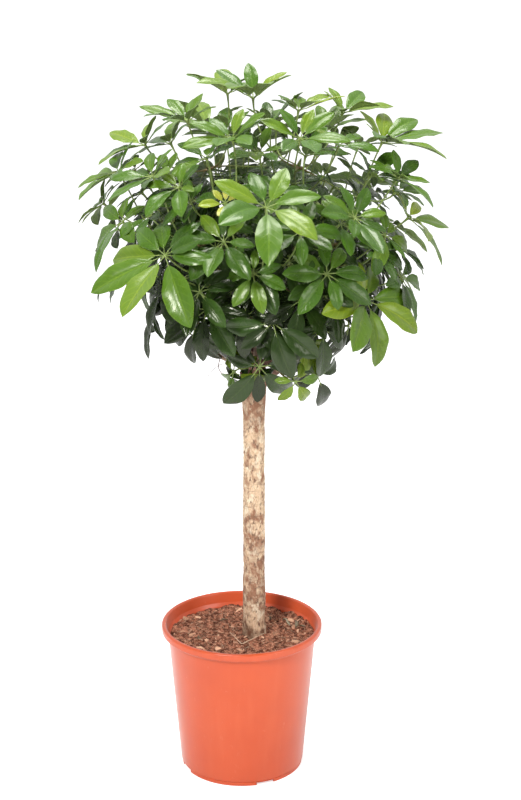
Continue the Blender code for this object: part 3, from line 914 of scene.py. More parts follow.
def shoot_growth(path, number):
    """The shoot from inside the head to its bud, with a flared collar and ring-shaped scars."""
    length = (path[3] - path[0]).length * 1.1
    start, direction = bezier(path, 0)
    centres = [start - direction * 0.010, start - direction * 0.004]
    radii = [0.0150, 0.0122]
    steps = 70
    for i in range(steps + 1):
        t = i / steps
        centre, _ = bezier(path, t)
        collar = 0.0040 * math.exp(-t * length / 0.008)
        phase = (t * length / SHOOT_SCAR_SPACING + 0.37 * number) % 1
        ring = math.exp(-((phase - 0.5) ** 2) / 0.012)
        lump = 0.0004 * noise.noise(Vector((t * 30, number * 3.1, 0)))
        centres.append(centre)
        radii.append(shoot_radius(t) * 0.96 + collar + 0.00055 * ring + lump)
    tip, heading = bezier(path, 1)
    for share, width in ((0.35, 0.85), (0.65, 0.6), (0.88, 0.3), (1.0, 0.06)):
        centres.append(tip + heading * (BUD_LENGTH * share))
        radii.append(SHOOT_TIP_RADIUS * width)
    sides = 14
    tones = []
    for k in range(len(centres)):
        tones += [min(1.0, k / (len(centres) - 5))] * sides
    growth = Growth()
    growth.add(*tube(centres, radii, sides), 0, tones)
    return growth


def shoot_material():
    """Brown, flaking bark that gives way to green skin towards the tip, with pale specks."""
    material, tree, shader = new_material("shoot_bark", 0.68)
    patches, raw = mottle(tree, 110.0, 0.42, 0.62, 6.0)
    specks, _ = mottle(tree, 700.0, 0.60, 0.70, 3.0)
    old = blend_colours(tree, patches, (0.14, 0.060, 0.038, 1), (0.30, 0.20, 0.115, 1))
    young = blend_colours(tree, patches, (0.13, 0.19, 0.045, 1), (0.20, 0.24, 0.075, 1))
    age = calculate(tree, "ADD", own_tone(tree), remap(tree, raw, 0.3, 0.7, -0.15, 0.15))
    greening = remap(tree, age, 0.45, 0.85, smooth=True)
    colour = blend_colours(tree, greening, old, young)
    colour = overlay(tree, colour, specks, 0.5, (0.40, 0.31, 0.20, 1))
    tree.links.new(colour, shader.inputs["Base Color"])
    raise_surface(tree, shader, raw, 0.5, 0.0006)
    return material


paths = [shoot_path(shoot) for shoot in SHOOTS]
shoot_finish = shoot_material()
for number, path in enumerate(paths, 1):
    made = shoot_growth(path, number).piece(f"grown_shoot_{number:02d}", [shoot_finish], 80)
    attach(made, "root")
    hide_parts(f"shoot_{number:02d}")

# ---------------------------------------------------------------- the leaves
# Each compound leaf is a round stalk that carries a whorl of 6 to 9 leaflets on short stalks of
# their own. The leaflets are leathery, glossy above and paler below, folded a little along the
# midrib. Old leaves are a deep bluish green, and the youngest a light yellow-green. The tone that
# sets this also holds painted shade, darkest deep in the crown, and painted light high up.
CROWN_HEART = Vector((0.035, 0.0, 0.90))
CROWN_LOW, CROWN_HIGH = 0.72, 1.12
STALK_LENGTH = 0.105
STALK_RADIUS, STALK_BASE_RADIUS = 0.0014, 0.0021
HUB_RADIUS, HUB_DEPTH = 0.0030, 0.0035
LEAFLET_WIDTH = 0.172
UPWARD_PULL = 0.65
LEAFLET_KEEL = 0.0010
LEAFLET_STATIONS = ((0.13, 0.05, 1.3), (0.36, 0.74, 1.1), (0.64, 1.0, 0.9), (0.87, 0.68, 0.7))
EDGE_ROOM = 0.9
GOLDEN = (math.sqrt(5) - 1) / 2
# how many places on the shoots, turns of the whorl and leans are tried for one leaf
ATTACHMENTS, TURNS, TILTS = 12, 5, 16

# A whorl's place, the length of its longest leaflet, how many leaflets it has, and its tone,
# from 0 for the oldest and darkest to 1 for the youngest and lightest. The tone is also painted
# shade and light: the whorls deep in the crown and low round the head are given dark tones.
Whorl = namedtuple("Whorl", "x y z reach count tone")
FRONT_WHORLS = [
    # the left side, from the top down
    Whorl(-0.02, 0.02, 1.14, 0.080, 7, 0.55),
    Whorl(-0.08, -0.06, 1.11, 0.080, 8, 0.50),
    Whorl(-0.15, 0.02, 1.06, 0.095, 7, 0.52),
    Whorl(-0.20, -0.02, 1.03, 0.090, 8, 0.55),
    Whorl(-0.13, -0.14, 1.04, 0.080, 8, 0.50),
    Whorl(-0.22, 0.05, 0.96, 0.080, 7, 0.55),
    Whorl(-0.18, -0.09, 0.96, 0.090, 8, 0.50),
    Whorl(-0.09, -0.18, 1.03, 0.070, 7, 0.48),
    Whorl(-0.108, -0.24, 0.943, 0.130, 9, 0.51),
    Whorl(-0.05, -0.16, 0.84, 0.090, 8, 0.10),
    Whorl(-0.08, -0.08, 0.86, 0.070, 7, 0.08),
    # the middle
    Whorl(-0.01, -0.16, 1.10, 0.085, 8, 0.52),
    Whorl(0.02, -0.04, 1.14, 0.105, 7, 0.55),
    Whorl(-0.02, -0.24, 1.02, 0.045, 6, 0.92),
    Whorl(0.04, -0.27, 1.02, 0.112, 7, 0.53),
    Whorl(0.09, -0.25, 0.98, 0.085, 7, 0.42),
    Whorl(0.02, -0.22, 0.91, 0.060, 7, 0.50),
    Whorl(-0.01, -0.17, 0.86, 0.080, 7, 0.16),
    Whorl(0.05, -0.20, 0.83, 0.092, 8, 0.13),
    Whorl(0.03, -0.16, 0.75, 0.095, 8, 0.16),
    Whorl(0.10, -0.14, 0.78, 0.060, 7, 0.66),
    # the right side, from the top down
    Whorl(0.09, -0.02, 1.12, 0.075, 7, 0.55),
    Whorl(0.09, -0.16, 1.10, 0.085, 7, 0.50),
    Whorl(0.16, 0.02, 1.11, 0.080, 6, 0.58),
    Whorl(0.15, -0.10, 1.08, 0.070, 7, 0.46),
    Whorl(0.22, -0.02, 1.07, 0.105, 8, 0.55),
    Whorl(0.24, -0.10, 1.03, 0.080, 8, 0.48),
    Whorl(0.17, -0.20, 0.99, 0.085, 8, 0.40),
    Whorl(0.26, -0.06, 0.96, 0.100, 7, 0.60),
    Whorl(0.22, -0.14, 0.95, 0.075, 7, 0.52),
    Whorl(0.13, -0.22, 0.91, 0.090, 8, 0.43),
    Whorl(0.23, -0.03, 0.89, 0.080, 7, 0.54),
    Whorl(0.19, -0.18, 0.86, 0.120, 8, 0.64),
    Whorl(0.17, -0.07, 0.79, 0.085, 7, 0.08),
    Whorl(0.12, -0.03, 0.73, 0.080, 7, 0.05),
]
BACK_WHORLS = 12
BACK_RADII = Vector((0.225, 0.250, 0.205))
BACK_SINES = (-0.62, 0.93)


def ring_points(centre, direction, guide, radius, count, phase=0.0):
    side = across(direction, guide)
    other = direction.cross(side)
    return [
        centre
        + side * (radius * math.cos(phase + math.tau * i / count))
        + other * (radius * math.sin(phase + math.tau * i / count))
        for i in range(count)
    ]


def back_whorls():
    """Whorls spread evenly over the back of the crown."""
    whorls = []
    low, high = BACK_SINES
    for i in range(BACK_WHORLS):
        sine = low + (high - low) * (i + 0.5) / BACK_WHORLS
        level = math.sqrt(1 - sine * sine)
        angle = math.radians(8) + math.radians(164) * ((i * GOLDEN) % 1)
        x = level * math.cos(angle) * BACK_RADII.x
        y = level * math.sin(angle) * BACK_RADII.y
        place = CROWN_HEART + Vector((x, y, sine * BACK_RADII.z))
        # higher whorls get lighter tones: partly younger growth, partly painted light from above
        tone = 0.28 + 0.24 * (sine - low) / (high - low) + 0.10 * ((i * 0.37) % 1)
        whorls.append(Whorl(*place, 0.080 + 0.006 * (i % 4), 7 + i % 2, tone))
    return whorls


class LeafForm:
    """How one leaf is set: where its whorl sits, which way it faces and how its leaflets hang."""

    def __init__(self, whorl, seed, lean):
        chance = random.Random(1000 * seed + lean)
        spread = 0.10 + 0.025 * lean
        stray = Vector([chance.uniform(-spread, spread) for _ in range(3)])
        self.hub = Vector((whorl.x, whorl.y, whorl.z)) + stray * (0.02 * lean)
        self.count = whorl.count
        outward = (self.hub - CROWN_HEART).normalized()
        self.facing = (outward + Vector((0, 0, UPWARD_PULL)) + stray).normalized()
        hang = Vector((outward.x, outward.y, -0.55))
        self.front = across(self.facing, hang)
        height = (whorl.z - CROWN_LOW) / (CROWN_HIGH - CROWN_LOW)
        height = min(max(height, 0.0), 1.0)
        self.cup = math.radians(-14 + 56 * height + chance.uniform(-6, 6))
        self.droop = math.radians(40 - 16 * height)
        self.lengths = []
        self.lifts = []
        for _ in range(self.count):
            self.lengths.append(whorl.reach * chance.uniform(0.94, 1.0))
            self.lifts.append(math.radians(chance.uniform(-9, 9)))


def attachments(form):
    """The places on the shoots that suit this leaf, the best first: (point, direction, radius)."""
    found = []
    for path in paths:
        for ring in range(2, SHOOT_RINGS + 1):
            t = ring / SHOOT_RINGS
            point, direction = bezier(path, t)
            away = form.hub - point
            strain = abs(away.length - STALK_LENGTH)
            strain += 0.06 * (1 - away.normalized().dot(form.facing))
            found.append((strain, len(found), point, direction, shoot_radius(t)))
    found.sort(key=lambda entry: entry[:2])
    return [entry[2:] for entry in found[:ATTACHMENTS]]


def stalk_path(form, place):
    """A curve that leaves the shoot square to its bark and meets the whorl from below."""
    point, direction, radius = place
    side = across(direction, form.hub - point)
    start = point + side * (radius + GAP)
    end = form.hub - form.facing * HUB_DEPTH
    length = (end - start).length
    return start, start + side * (0.30 * length), end - form.facing * (0.35 * length), end


def leaflet_station(form, azimuth, lift, length, u):
    """A point on a leaflet's midrib at the share u of its length, and the blade's upward way."""
    radial = form.front * math.cos(azimuth) + form.facing.cross(form.front) * math.sin(azimuth)
    rise = form.cup + lift
    bend = form.droop
    along = (math.sin(rise) - math.sin(rise - bend * u)) / bend * length
    above = (math.cos(rise - bend * u) - math.cos(rise)) / bend * length
    tilt = rise - bend * u
    centre = form.hub + radial * (HUB_RADIUS + along) + form.facing * above
    upward = form.facing * math.cos(tilt) - radial * math.sin(tilt)
    return centre, upward, form.facing.cross(radial)


def across_hub(form, point):
    """How far a point is from the axis of the whorl."""
    away = point - form.hub
    return (away - form.facing * away.dot(form.facing)).length


def leaflet_length(form, i, azimuth):
    """A leaflet's length: those at the front, which hangs, are the longest."""
    return form.lengths[i] * (0.80 + 0.20 * math.cos(azimuth))


def plain_leaf(form, place, turn, slim=1.0):
    """A leaf's simple shape, only to tell whether it would touch another.

    With slim below 1 its leaflets are narrower, so that their margins may brush past others.
    """
    count = form.count
    step = math.tau / count
    path = stalk_path(form, place)
    points = ring_points(form.hub, form.facing, form.front, HUB_RADIUS, count, turn - step / 2)
    base = form.hub - form.facing * HUB_DEPTH
    points += ring_points(base, form.facing, form.front, 0.55 * HUB_RADIUS, count, turn)
    faces = [tuple(range(count))]
    for i in range(count):
        azimuth = turn + step * i
        length = leaflet_length(form, i, azimuth)
        section = (i, (i + 1) % count, count + i)
        for u, width, keel in LEAFLET_STATIONS:
            centre, upward, side = leaflet_station(form, azimuth, form.lifts[i], length, u)
            room = EDGE_ROOM * across_hub(form, centre) * math.tan(step / 2)
            half = slim * min(LEAFLET_WIDTH * length * width, room)
            new = tuple(range(len(points), len(points) + 3))
            points += [centre - side * half, centre + side * half]
            points.append(centre - upward * (LEAFLET_KEEL * keel))
            faces += ring_faces(section, new)
            section = new
        points.append(leaflet_station(form, azimuth, form.lifts[i], length, 1.0)[0])
        tip = len(points) - 1
        faces += [(section[k], section[(k + 1) % 3], tip) for k in range(3)]
        faces.append(((i + 1) % count, count + (i + 1) % count, count + i))

    ring = list(range(count, 2 * count))
    for t, radius in ((0.66, STALK_RADIUS), (0.33, STALK_RADIUS), (0.0, STALK_BASE_RADIUS)):
        centre, direction = bezier(path, t)
        new = list(range(len(points), len(points) + count))
        points += ring_points(centre, direction, form.front, radius, count, turn)
        faces += ring_faces(ring, new)
        ring = new
    faces.append(tuple(ring))
    return points, faces


Setting = namedtuple("Setting", "form place turn points faces")
SAME_PLACE = 0.0005


def possible_settings(whorl, seed, leans, slim=1.0):
    """Every lean, place and turn that a leaf can have, the most natural first."""
    for lean in range(leans):
        form = LeafForm(whorl, seed, lean)
        for place in attachments(form):
            for k in range(TURNS):
                turn = math.tau / form.count * ((k * GOLDEN) % 1)
                points, faces = plain_leaf(form, place, turn, slim)
                yield Setting(form, place, turn, points, faces)


def as_built(whorl, seed, node):
    """The setting of a leaf that the frame has: its box and the foot of its stalk are the same."""
    low, high = (np.array(corner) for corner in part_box(node))
    built = np.array([tuple(corner.co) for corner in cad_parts[node].data.vertices])
    for setting in possible_settings(whorl, seed, TILTS):
        span = np.array([tuple(point) for point in setting.points])
        foot = np.array(stalk_path(setting.form, setting.place)[0])
        drift = max(abs(span.min(0) - low).max(), abs(span.max(0) - high).max())
        gap = np.linalg.norm(built - foot, axis=1).min()
        if drift < SAME_PLACE and abs(gap - STALK_BASE_RADIUS) < SAME_PLACE:
            return setting
    raise ValueError(f"no setting of {node} fits its solid")


def settle(whorl, seed, neighbours, leans, slim):
    """The first setting in which a leaf touches none of its neighbours."""
    for setting in possible_settings(whorl, seed, leans, slim):
        tree = BVHTree.FromPolygons(setting.points, setting.faces)
        if not any(tree.overlap(other) for other in neighbours):
            return setting, tree
    return None


def node_tree(name):
    """The tree for overlap tests of a node in the frame."""
    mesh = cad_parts[name].data
    points = [corner.co.copy() for corner in mesh.vertices]
    return BVHTree.FromPolygons(points, [tuple(face.vertices) for face in mesh.polygons])


BLADE_START = 0.13
BLADE_THICKNESS, MIDRIB_THICKNESS = 0.00045, 0.0006
OUTLINE_PEAK = 0.2884
SIDE_VEINS = 8.0
STUNTED = 0.22
LEAF_SEED = 7000
FINE_BLADE, COARSE_BLADE = (15, 9), (11, 7)


def blade(form, azimuth, lift, length, room_angle, detail, chance):
    """One leaflet's blade as two grids of points, with its place along and across the blade.

    Its outline is elliptic, widest just past the middle and drawn out to a point. Each half
    rises from the midrib and bows over towards the margin, and the margin ripples a little.
    """
    rows, columns = detail
    s = np.linspace(0, 1, rows) ** 0.92
    u = BLADE_START + (1 - BLADE_START) * s
    v = np.linspace(-1, 1, columns)
    radial = form.front * math.cos(azimuth) + form.facing.cross(form.front) * math.sin(azimuth)
    side = np.array(form.facing.cross(radial))
    radial, facing = np.array(radial), np.array(form.facing)
    rise = form.cup + lift + chance.uniform(-0.18, 0.26)
    bend = form.droop * chance.uniform(0.7, 1.8)
    tilt = rise - bend * u
    along = (math.sin(rise) - np.sin(tilt)) / bend * length
    above = (np.cos(tilt) - math.cos(rise)) / bend * length
    sweep = chance.uniform(-0.10, 0.10) * length
    centre = (
        np.array(form.hub)
        + np.outer(HUB_RADIUS + along, radial)
        + np.outer(above, facing)
        + np.outer(sweep * s**2, side)
    )
    upward = np.outer(np.cos(tilt), facing) - np.outer(np.sin(tilt), radial)
    outline = (s**0.95 * (1 - s) ** 0.85) / OUTLINE_PEAK
    half = LEAFLET_WIDTH * length * chance.uniform(0.96, 1.14) * outline
    half = np.minimum(half, 1.02 * (HUB_RADIUS + along) * math.tan(room_angle)) + 0.00035
    fold = chance.uniform(0.34, 0.70)
    bow = fold * chance.uniform(0.55, 0.95)
    twist = chance.uniform(-0.22, 0.22) * s
    waves = chance.uniform(1.6, 3.2)
    phase = chance.uniform(0, math.tau)
    ripple = 0.07 * np.sin(math.tau * waves * s + phase)
    lateral = np.outer(half, v)
    height = np.outer(half, fold * np.abs(v) - bow * v * v)
    height += np.outer(half * ripple, np.sign(v) * np.abs(v) ** 1.5)
    turned_side = lateral * np.cos(twist)[:, None] - height * np.sin(twist)[:, None]
    turned_up = lateral * np.sin(twist)[:, None] + height * np.cos(twist)[:, None]
    upward = upward[:, None, :]
    top = centre[:, None, :] + turned_side[:, :, None] * side + turned_up[:, :, None] * upward
    rib = np.outer((1 - s) ** 0.7, np.exp(-((v / 0.16) ** 2)))
    thickness = BLADE_THICKNESS + MIDRIB_THICKNESS * rib
    under = top - thickness[:, :, None] * upward
    places = [(float(a), float(0.5 + 0.5 * b)) for a in s for b in v]
    return top.reshape(-1, 3), under.reshape(-1, 3), places * 2, centre[0]


def grow_leaf(growth, setting, tone, seed, detail=FINE_BLADE):
    """Adds a whole leaf to a piece: stalk, hub, leaflet stalks and blades."""
    form, place, turn = setting[:3]
    chance = random.Random(LEAF_SEED + seed)
    rows, columns = detail
    path = stalk_path(form, place)
    centres, radii, tones = [], [], []
    start, direction = bezier(path, 0)
    centres.append(start - direction * 0.0012)
    radii.append(0.0030)
    for k in range(15):
        # the stalk is a little swollen at its foot and under the hub
        t = k / 14
        centres.append(bezier(path, t)[0])
        radii.append(0.00125 + 0.0015 * math.exp(-t / 0.05) + 0.0007 * math.exp((t - 1) / 0.04))
    centres.append(form.hub)
    radii.append(0.0026)
    sides = 8
    for k in range(len(centres)):
        tones += [0.15 + 0.85 * k / (len(centres) - 1)] * sides
    growth.add(*tube(centres, radii, sides), 2, tones)
    step = math.tau / form.count
    for i in range(form.count):
        azimuth = turn + step * i
        length = leaflet_length(form, i, azimuth) * chance.uniform(0.94, 1.06)
        if chance.random() < STUNTED:
            length *= chance.uniform(0.62, 0.86)
        azimuth += chance.uniform(-0.24, 0.24) * step
        own = min(1.0, max(0.0, tone + chance.gauss(0, 0.075)))
        top, under, places, foot = blade(
            form, azimuth, form.lifts[i], length, 0.5 * step, detail, chance
        )
        points, faces = slab(top, under, rows, columns)
        # the slab's faces come in pairs, one above and one below, and its edges come last
        finishes = [0, 1] * ((rows - 1) * (columns - 1))
        finishes += [0] * (len(faces) - len(finishes))
        first = len(growth.finishes)
        growth.add(points, faces, 0, own, places)
        growth.finishes[first:] = finishes
        foot = Vector(foot)
        middle = form.hub.lerp(foot, 0.5) + form.facing * 0.0004
        end = foot.lerp(Vector(top[2 * columns + columns // 2]), 0.6)
        spine = [form.hub - form.facing * 0.001, middle, foot, end]
        growth.add(*tube(spine, (0.0011, 0.00085, 0.0008, 0.0003), 6), 2, 1.0)
    return growth


def veins_group():
    """A leaflet's veins from its place along and across the blade: midrib, side veins, margin."""
    outputs = [(name, "NodeSocketFloat") for name in ("Midrib", "Side", "Margin")]
    inputs = [("Side Veins", "NodeSocketFloat", SIDE_VEINS)]
    group, start, end = new_group("veins", inputs, outputs)
    place = add_node(group, "ShaderNodeUVMap", uv_map="blade").outputs["UV"]
    split = add_node(group, "ShaderNodeSeparateXYZ", {0: place})
    off = calculate(group, "ABSOLUTE", calculate(group, "SUBTRACT", split.outputs["Y"], 0.5))
    midrib = remap(group, off, 0.040, 0.012, smooth=True)
    margin = remap(group, off, 0.455, 0.495, smooth=True)
    slant = calculate(group, "MULTIPLY", off, 0.45)
    slanted = calculate(group, "SUBTRACT", split.outputs["X"], slant)
    cycle = calculate(group, "MULTIPLY", slanted, start.outputs["Side Veins"])
    wave = calculate(group, "FRACT", cycle)
    ridge = calculate(group, "ABSOLUTE", calculate(group, "SUBTRACT", wave, 0.5))
    side = remap(group, ridge, 0.14, 0.02, smooth=True)
    inner = remap(group, off, 0.47, 0.30, smooth=True)
    side = calculate(group, "MULTIPLY", side, inner)
    for name, value in (("Midrib", midrib), ("Side", side), ("Margin", margin)):
        group.links.new(value, end.inputs[name])
    return group


VEINS = veins_group()


def age_and_shade_colours(tree, stops):
    """A colour by the leaf's tone, from the oldest to the youngest, and the tone itself.

    The dark end is partly painted shade for leaves deep in the crown, and the light end partly
    painted light for leaves high up.
    """
    tone = own_tone(tree)
    ramp = add_node(tree, "ShaderNodeValToRGB", {"Fac": tone})
    band = ramp.color_ramp
    while len(band.elements) < len(stops):
        band.elements.new(0.5)
    for element, (position, colour) in zip(band.elements, stops):
        element.position = position
        element.color = (*colour, 1)
    return ramp.outputs["Color"], tone


def leaf_top_material():
    """Glossy and clouded, with lighter veins and margin; an old leaf is glossier than a young."""
    gloss = {"IOR": 1.47, "Specular_Tint": (1.0, 0.99, 0.86, 1)}
    material, tree, shader = new_material("leaf_top", 0.24, **gloss)
    # the darkest stops are painted shade for leaves deep in the crown, and the lightest partly
    # painted light for leaves high up
    colour, tone = age_and_shade_colours(
        tree,
        (
            (0.0, (0.010, 0.020, 0.004)),
            (0.25, (0.024, 0.056, 0.007)),
            (0.44, (0.054, 0.128, 0.010)),
            (0.56, (0.088, 0.168, 0.010)),
            (0.72, (0.175, 0.250, 0.012)),
            (0.88, (0.260, 0.330, 0.026)),
            (1.0, (0.480, 0.440, 0.085)),
        ),
    )
    veins = add_node(tree, "ShaderNodeGroup", {"Side Veins": SIDE_VEINS}, node_tree=VEINS)
    cloud, raw = mottle(tree, 55.0, 0.30, 0.72, 4.0)
    colour = overlay(tree, colour, cloud, 0.35, (0.62, 0.80, 0.50, 1), "MULTIPLY")
    lighter = blend_colours(tree, 1.0, colour, (2.2, 1.75, 1.9, 1), "MULTIPLY")
    for vein, weight in (("Side", 0.22), ("Midrib", 0.45), ("Margin", 0.35)):
        colour = overlay(tree, colour, veins.outputs[vein], weight, lighter)
    tree.links.new(colour, shader.inputs["Base Color"])
    sheen = remap(tree, raw, 0.3, 0.7, 0.24, 0.38)
    aged = remap(tree, tone, 0.10, 0.55, 0.62, 1.0)
    tree.links.new(calculate(tree, "MULTIPLY", sheen, aged), shader.inputs["Roughness"])
    side_grooves = calculate(tree, "MULTIPLY", veins.outputs["Side"], -0.5)
    groove = calculate(tree, "MULTIPLY", veins.outputs["Midrib"], -1.0)
    grooves = calculate(tree, "ADD", side_grooves, groove)
    relief = calculate(tree, "ADD", grooves, calculate(tree, "MULTIPLY", raw, 0.8))
    raise_surface(tree, shader, relief, 0.35, 0.0005)
    return material


def leaf_underside_material():
    """Paler and duller, with raised veins that are paler still."""
    material, tree, shader = new_material("leaf_underside", 0.50)
    # the darkest stops are painted shade for leaves deep in the crown, and the lightest partly
    # painted light for leaves high up
    colour, _ = age_and_shade_colours(
        tree,
        (
            (0.0, (0.045, 0.070, 0.035)),
            (0.25, (0.070, 0.115, 0.045)),
            (0.50, (0.150, 0.225, 0.055)),
            (0.72, (0.230, 0.320, 0.065)),
            (0.88, (0.360, 0.440, 0.110)),
            (1.0, (0.540, 0.560, 0.200)),
        ),
    )
    veins = add_node(tree, "ShaderNodeGroup", {"Side Veins": SIDE_VEINS}, node_tree=VEINS)
    pale = blend_colours(tree, 0.55, colour, (0.50, 0.58, 0.26, 1))
    colour = overlay(tree, colour, veins.outputs["Side"], 0.35, pale)
    colour = blend_colours(tree, veins.outputs["Midrib"], colour, pale)
    tree.links.new(colour, shader.inputs["Base Color"])
    midrib = calculate(tree, "MULTIPLY", veins.outputs["Midrib"], 1.5)
    relief = calculate(tree, "ADD", veins.outputs["Side"], midrib)
    raise_surface(tree, shader, relief, 0.4, 0.0005)
    return material


def stalk_material():
    """Yellow-green leaf stalks, flushed red-brown where they leave the shoot."""
    material, tree, shader = new_material("leaf_stalk", 0.42)
    cloud, raw = mottle(tree, 140.0, 0.35, 0.65, 4.0)
    green = blend_colours(tree, cloud, (0.130, 0.190, 0.035, 1), (0.230, 0.300, 0.075, 1))
    red = blend_colours(tree, cloud, (0.130, 0.070, 0.030, 1), (0.210, 0.150, 0.050, 1))
    colour = blend_colours(tree, remap(tree, own_tone(tree), 0.15, 0.55, smooth=True), red, green)
    tree.links.new(colour, shader.inputs["Base Color"])
    raise_surface(tree, shader, raw, 0.3, 0.0003)
    return material


LEAF_FINISHES = [leaf_top_material(), leaf_underside_material(), stalk_material()]

placed = [node_tree(f"shoot_{number:02d}") for number in range(1, len(SHOOTS) + 1)]
placed.append(node_tree("stem"))
for number, whorl in enumerate(FRONT_WHORLS + back_whorls(), 1):
    setting = as_built(whorl, number, f"leaf_{number:02d}")
    placed.append(BVHTree.FromPolygons(setting.points, setting.faces))
    made = grow_leaf(Growth(), setting, whorl.tone, number).piece(
        f"grown_leaf_{number:02d}", LEAF_FINISHES, sharp_degrees=70, outwards=False
    )
    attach(made, "root")
    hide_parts(f"leaf_{number:02d}")

# ---------------------------------------------------------------- the inner and in-between leaves
# A dense crown has more than four times as many leaves. These fill it between and behind the
# others, the inner ones small, and dark in painted shade of the crown around them. Those that
# hang low round the stem's head and those under the summit are listed, and the rest are scattered.
SCATTERED = 270
LAYERS = (0.97, 0.72, 0.86, 0.52, 0.92, 0.62)
LOWEST_SINE, SINE_SPAN = -0.62, 1.60
CROWN_RADIUS, CROWN_HALF_HEIGHT = 0.25, 0.215
INNER_SEED = 200
LEANS = 3
LISTED_WHORLS = [
    Whorl(-0.005, -0.20, 0.785, 0.056, 6, 0.58),
    Whorl(0.055, -0.21, 0.765, 0.058, 6, 0.62),
    Whorl(0.085, -0.19, 0.735, 0.060, 6, 0.64),
    Whorl(0.01, -0.12, 0.715, 0.066, 6, 0.14),
    Whorl(-0.12, -0.10, 0.86, 0.078, 8, 0.10),
    Whorl(-0.10, 0.00, 0.82, 0.075, 7, 0.08),
    Whorl(-0.15, -0.02, 0.87, 0.078, 7, 0.14),
    Whorl(-0.07, -0.11, 0.80, 0.072, 8, 0.08),
    Whorl(-0.04, -0.06, 0.77, 0.068, 7, 0.06),
    Whorl(-0.02, -0.12, 0.79, 0.060, 7, 0.30),
    Whorl(-0.09, -0.15, 0.88, 0.070, 7, 0.12),
    Whorl(0.07, -0.10, 0.75, 0.070, 7, 0.10),
    Whorl(0.07, -0.17, 0.745, 0.072, 6, 0.66),
    Whorl(-0.01, -0.14, 0.735, 0.066, 6, 0.58),
    Whorl(0.12, -0.13, 0.725, 0.078, 5, 0.12),
    Whorl(0.15, -0.12, 0.76, 0.070, 7, 0.10),
    Whorl(0.16, 0.02, 0.78, 0.072, 7, 0.14),
    Whorl(0.20, -0.02, 0.82, 0.074, 7, 0.20),
    Whorl(0.06, 0.08, 0.76, 0.072, 7, 0.10),
    Whorl(-0.02, 0.08, 0.78, 0.072, 7, 0.10),
    # just under the summit, where they close the gaps between the long stalks
    Whorl(-0.005, -0.03, 1.165, 0.062, 5, 0.60),
    Whorl(-0.05, 0.03, 1.10, 0.074, 7, 0.46),
    Whorl(0.00, 0.02, 1.09, 0.076, 8, 0.44),
    Whorl(0.05, 0.00, 1.10, 0.076, 7, 0.46),
    Whorl(0.13, 0.02, 1.08, 0.074, 7, 0.46),
    Whorl(-0.11, 0.03, 1.06, 0.074, 7, 0.46),
    Whorl(0.19, 0.06, 1.05, 0.074, 7, 0.44),
    Whorl(-0.17, 0.07, 1.01, 0.074, 7, 0.44),
    Whorl(0.03, -0.11, 1.07, 0.072, 7, 0.46),
    Whorl(0.10, -0.08, 1.06, 0.072, 7, 0.44),
    Whorl(-0.05, -0.10, 1.06, 0.072, 7, 0.44),
    Whorl(0.20, -0.08, 1.03, 0.070, 7, 0.40),
    Whorl(-0.11, -0.06, 1.03, 0.070, 7, 0.40),
    Whorl(0.05, -0.18, 1.02, 0.070, 7, 0.40),
]


def scattered_whorls():
    """Whorls in layers inwards from the crown's surface, darker the deeper they are: painted shade.
    """
    chance = random.Random(5)
    whorls = []
    for k in range(SCATTERED):
        layer = LAYERS[k % len(LAYERS)]
        sine = LOWEST_SINE + SINE_SPAN * ((k + 0.5) / SCATTERED) ** 0.80
        level = math.sqrt(1 - min(sine * sine, 0.98))
        angle = math.tau * ((k * GOLDEN + 0.13) % 1)
        if sine < -0.2:
            layer *= 0.84
        way = Vector((level * math.cos(angle), level * math.sin(angle), sine))
        x, y, z = way.x * CROWN_RADIUS, way.y * CROWN_RADIUS, way.z * CROWN_HALF_HEIGHT
        place = CROWN_HEART + Vector((x, y, z)) * layer
        # painted shade: the deeper layers get darker tones; painted light: the higher whorls get
        # lighter ones
        light = 0.27 if layer > 0.9 else 0.14 if layer > 0.8 else 0.06
        tone = max(0.04, light + 0.26 * max(0.0, sine) + chance.uniform(-0.08, 0.10))
        reach = chance.uniform(0.060, 0.090) * (0.75 + 0.25 * layer)
        whorls.append(Whorl(*place, reach, chance.choice((6, 7, 7, 8)), tone))
    return whorls


def settle_somehow(whorl, seed):
    """A setting among the leaves so far, if need be of a smaller leaf with touching margins."""
    found = settle(whorl, seed, placed, LEANS, 0.5)
    if found is None:
        smaller = whorl._replace(reach=0.85 * whorl.reach)
        found = settle(smaller, seed, placed, LEANS, 0.18)
    return found


def nearest_shoot(point):
    """The index of the shoot that passes closest to a point."""

    def distance(i):
        return min((bezier(paths[i], t / 8)[0] - point).length for t in range(9))

    return min(range(len(paths)), key=distance)


inner_growths = [Growth() for _ in paths]
for k, whorl in enumerate(LISTED_WHORLS + scattered_whorls()):
    found = settle_somehow(whorl, INNER_SEED + k)
    if found is None:
        continue
    setting, tree = found
    placed.append(tree)
    growth = inner_growths[nearest_shoot(setting.place[0])]
    grow_leaf(growth, setting, whorl.tone, INNER_SEED + k, COARSE_BLADE)
for number, growth in enumerate(inner_growths, 1):
    if growth.points:
        made = growth.piece(
            f"inner_leaves_{number:02d}", LEAF_FINISHES, sharp_degrees=70, outwards=False
        )
        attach(made, "root")

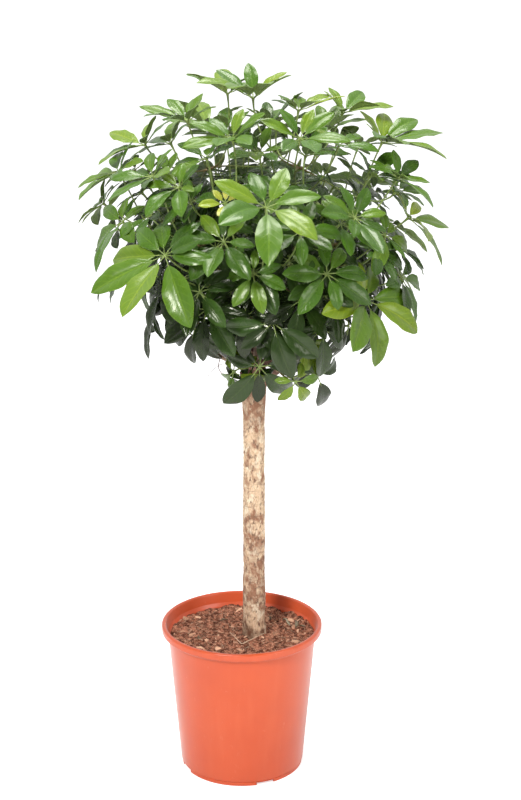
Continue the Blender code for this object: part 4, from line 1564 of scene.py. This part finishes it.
# ---------------------------------------------------------------- the studio
# A pale floor that runs out of view, a large soft light above and to the left, a weaker one on
# the right, and a white surround.
floor_finish, floor_tree, floor_shader = new_material("pale_floor", 0.9)
floor_shader.inputs["Base Color"].default_value = (0.93, 0.93, 0.93, 1)
floor_shader.inputs["Emission Color"].default_value = (1, 1, 1, 1)
floor_seen = add_node(floor_tree, "ShaderNodeLightPath").outputs["Is Camera Ray"]
glow = calculate(floor_tree, "MULTIPLY", floor_seen, 0.55)
floor_tree.links.new(glow, floor_shader.inputs["Emission Strength"])
bpy.ops.mesh.primitive_plane_add(size=60, location=(0, 10, -0.0002))
floor = bpy.context.object
floor.name = "studio_floor"
floor.data.materials.append(floor_finish)


def soft_light(name, place, aim, size, power):
    data = bpy.data.lights.new(name, "AREA")
    data.shape = "DISK"
    data.size = size
    data.energy = power
    light = bpy.data.objects.new(name, data)
    light.location = place
    light.rotation_mode = "QUATERNION"
    light.rotation_quaternion = (Vector(aim) - Vector(place)).to_track_quat("-Z", "Y")
    bpy.context.scene.collection.objects.link(light)


soft_light("key", (-1.1, -2.6, 2.6), (0, 0, 0.75), 0.8, 93)
soft_light("fill", (2.4, -1.8, 1.5), (0, 0, 0.75), 1.5, 28)
soft_light("top", (0.0, 0.25, 3.0), (0, 0, 0.9), 1.2, 50)

surround = bpy.data.worlds.new("surround")
surround.use_nodes = True
sky = surround.node_tree
# the backdrop behind and beside the plant is bright, and the room in front of it is dimmer
heading = add_node(sky, "ShaderNodeSeparateXYZ")
sky.links.new(add_node(sky, "ShaderNodeTexCoord").outputs["Generated"], heading.inputs[0])
around = remap(sky, heading.outputs["Y"], -0.35, 0.35, 0.31, 0.92, smooth=True)
seen = add_node(sky, "ShaderNodeLightPath").outputs["Is Camera Ray"]
strength = calculate(sky, "MAXIMUM", around, seen)
sky.links.new(strength, sky.nodes["Background"].inputs["Strength"])
sky.nodes["Background"].inputs["Color"].default_value = (1, 1, 1, 1)
bpy.context.scene.world = surround
bpy.context.scene.view_settings.view_transform = "Standard"
bpy.context.scene.view_settings.look = "None"

camera_data = bpy.data.cameras.new("camera")
camera_data.lens = 87.03
camera_data.sensor_width = 36
camera = bpy.data.objects.new("camera", camera_data)
camera.location = (0.0315, -3.0, 1.589)
camera.rotation_euler = (math.radians(90 - 17.45), 0, 0)
bpy.context.scene.collection.objects.link(camera)
bpy.context.scene.camera = camera

bpy.context.view_layer.update()
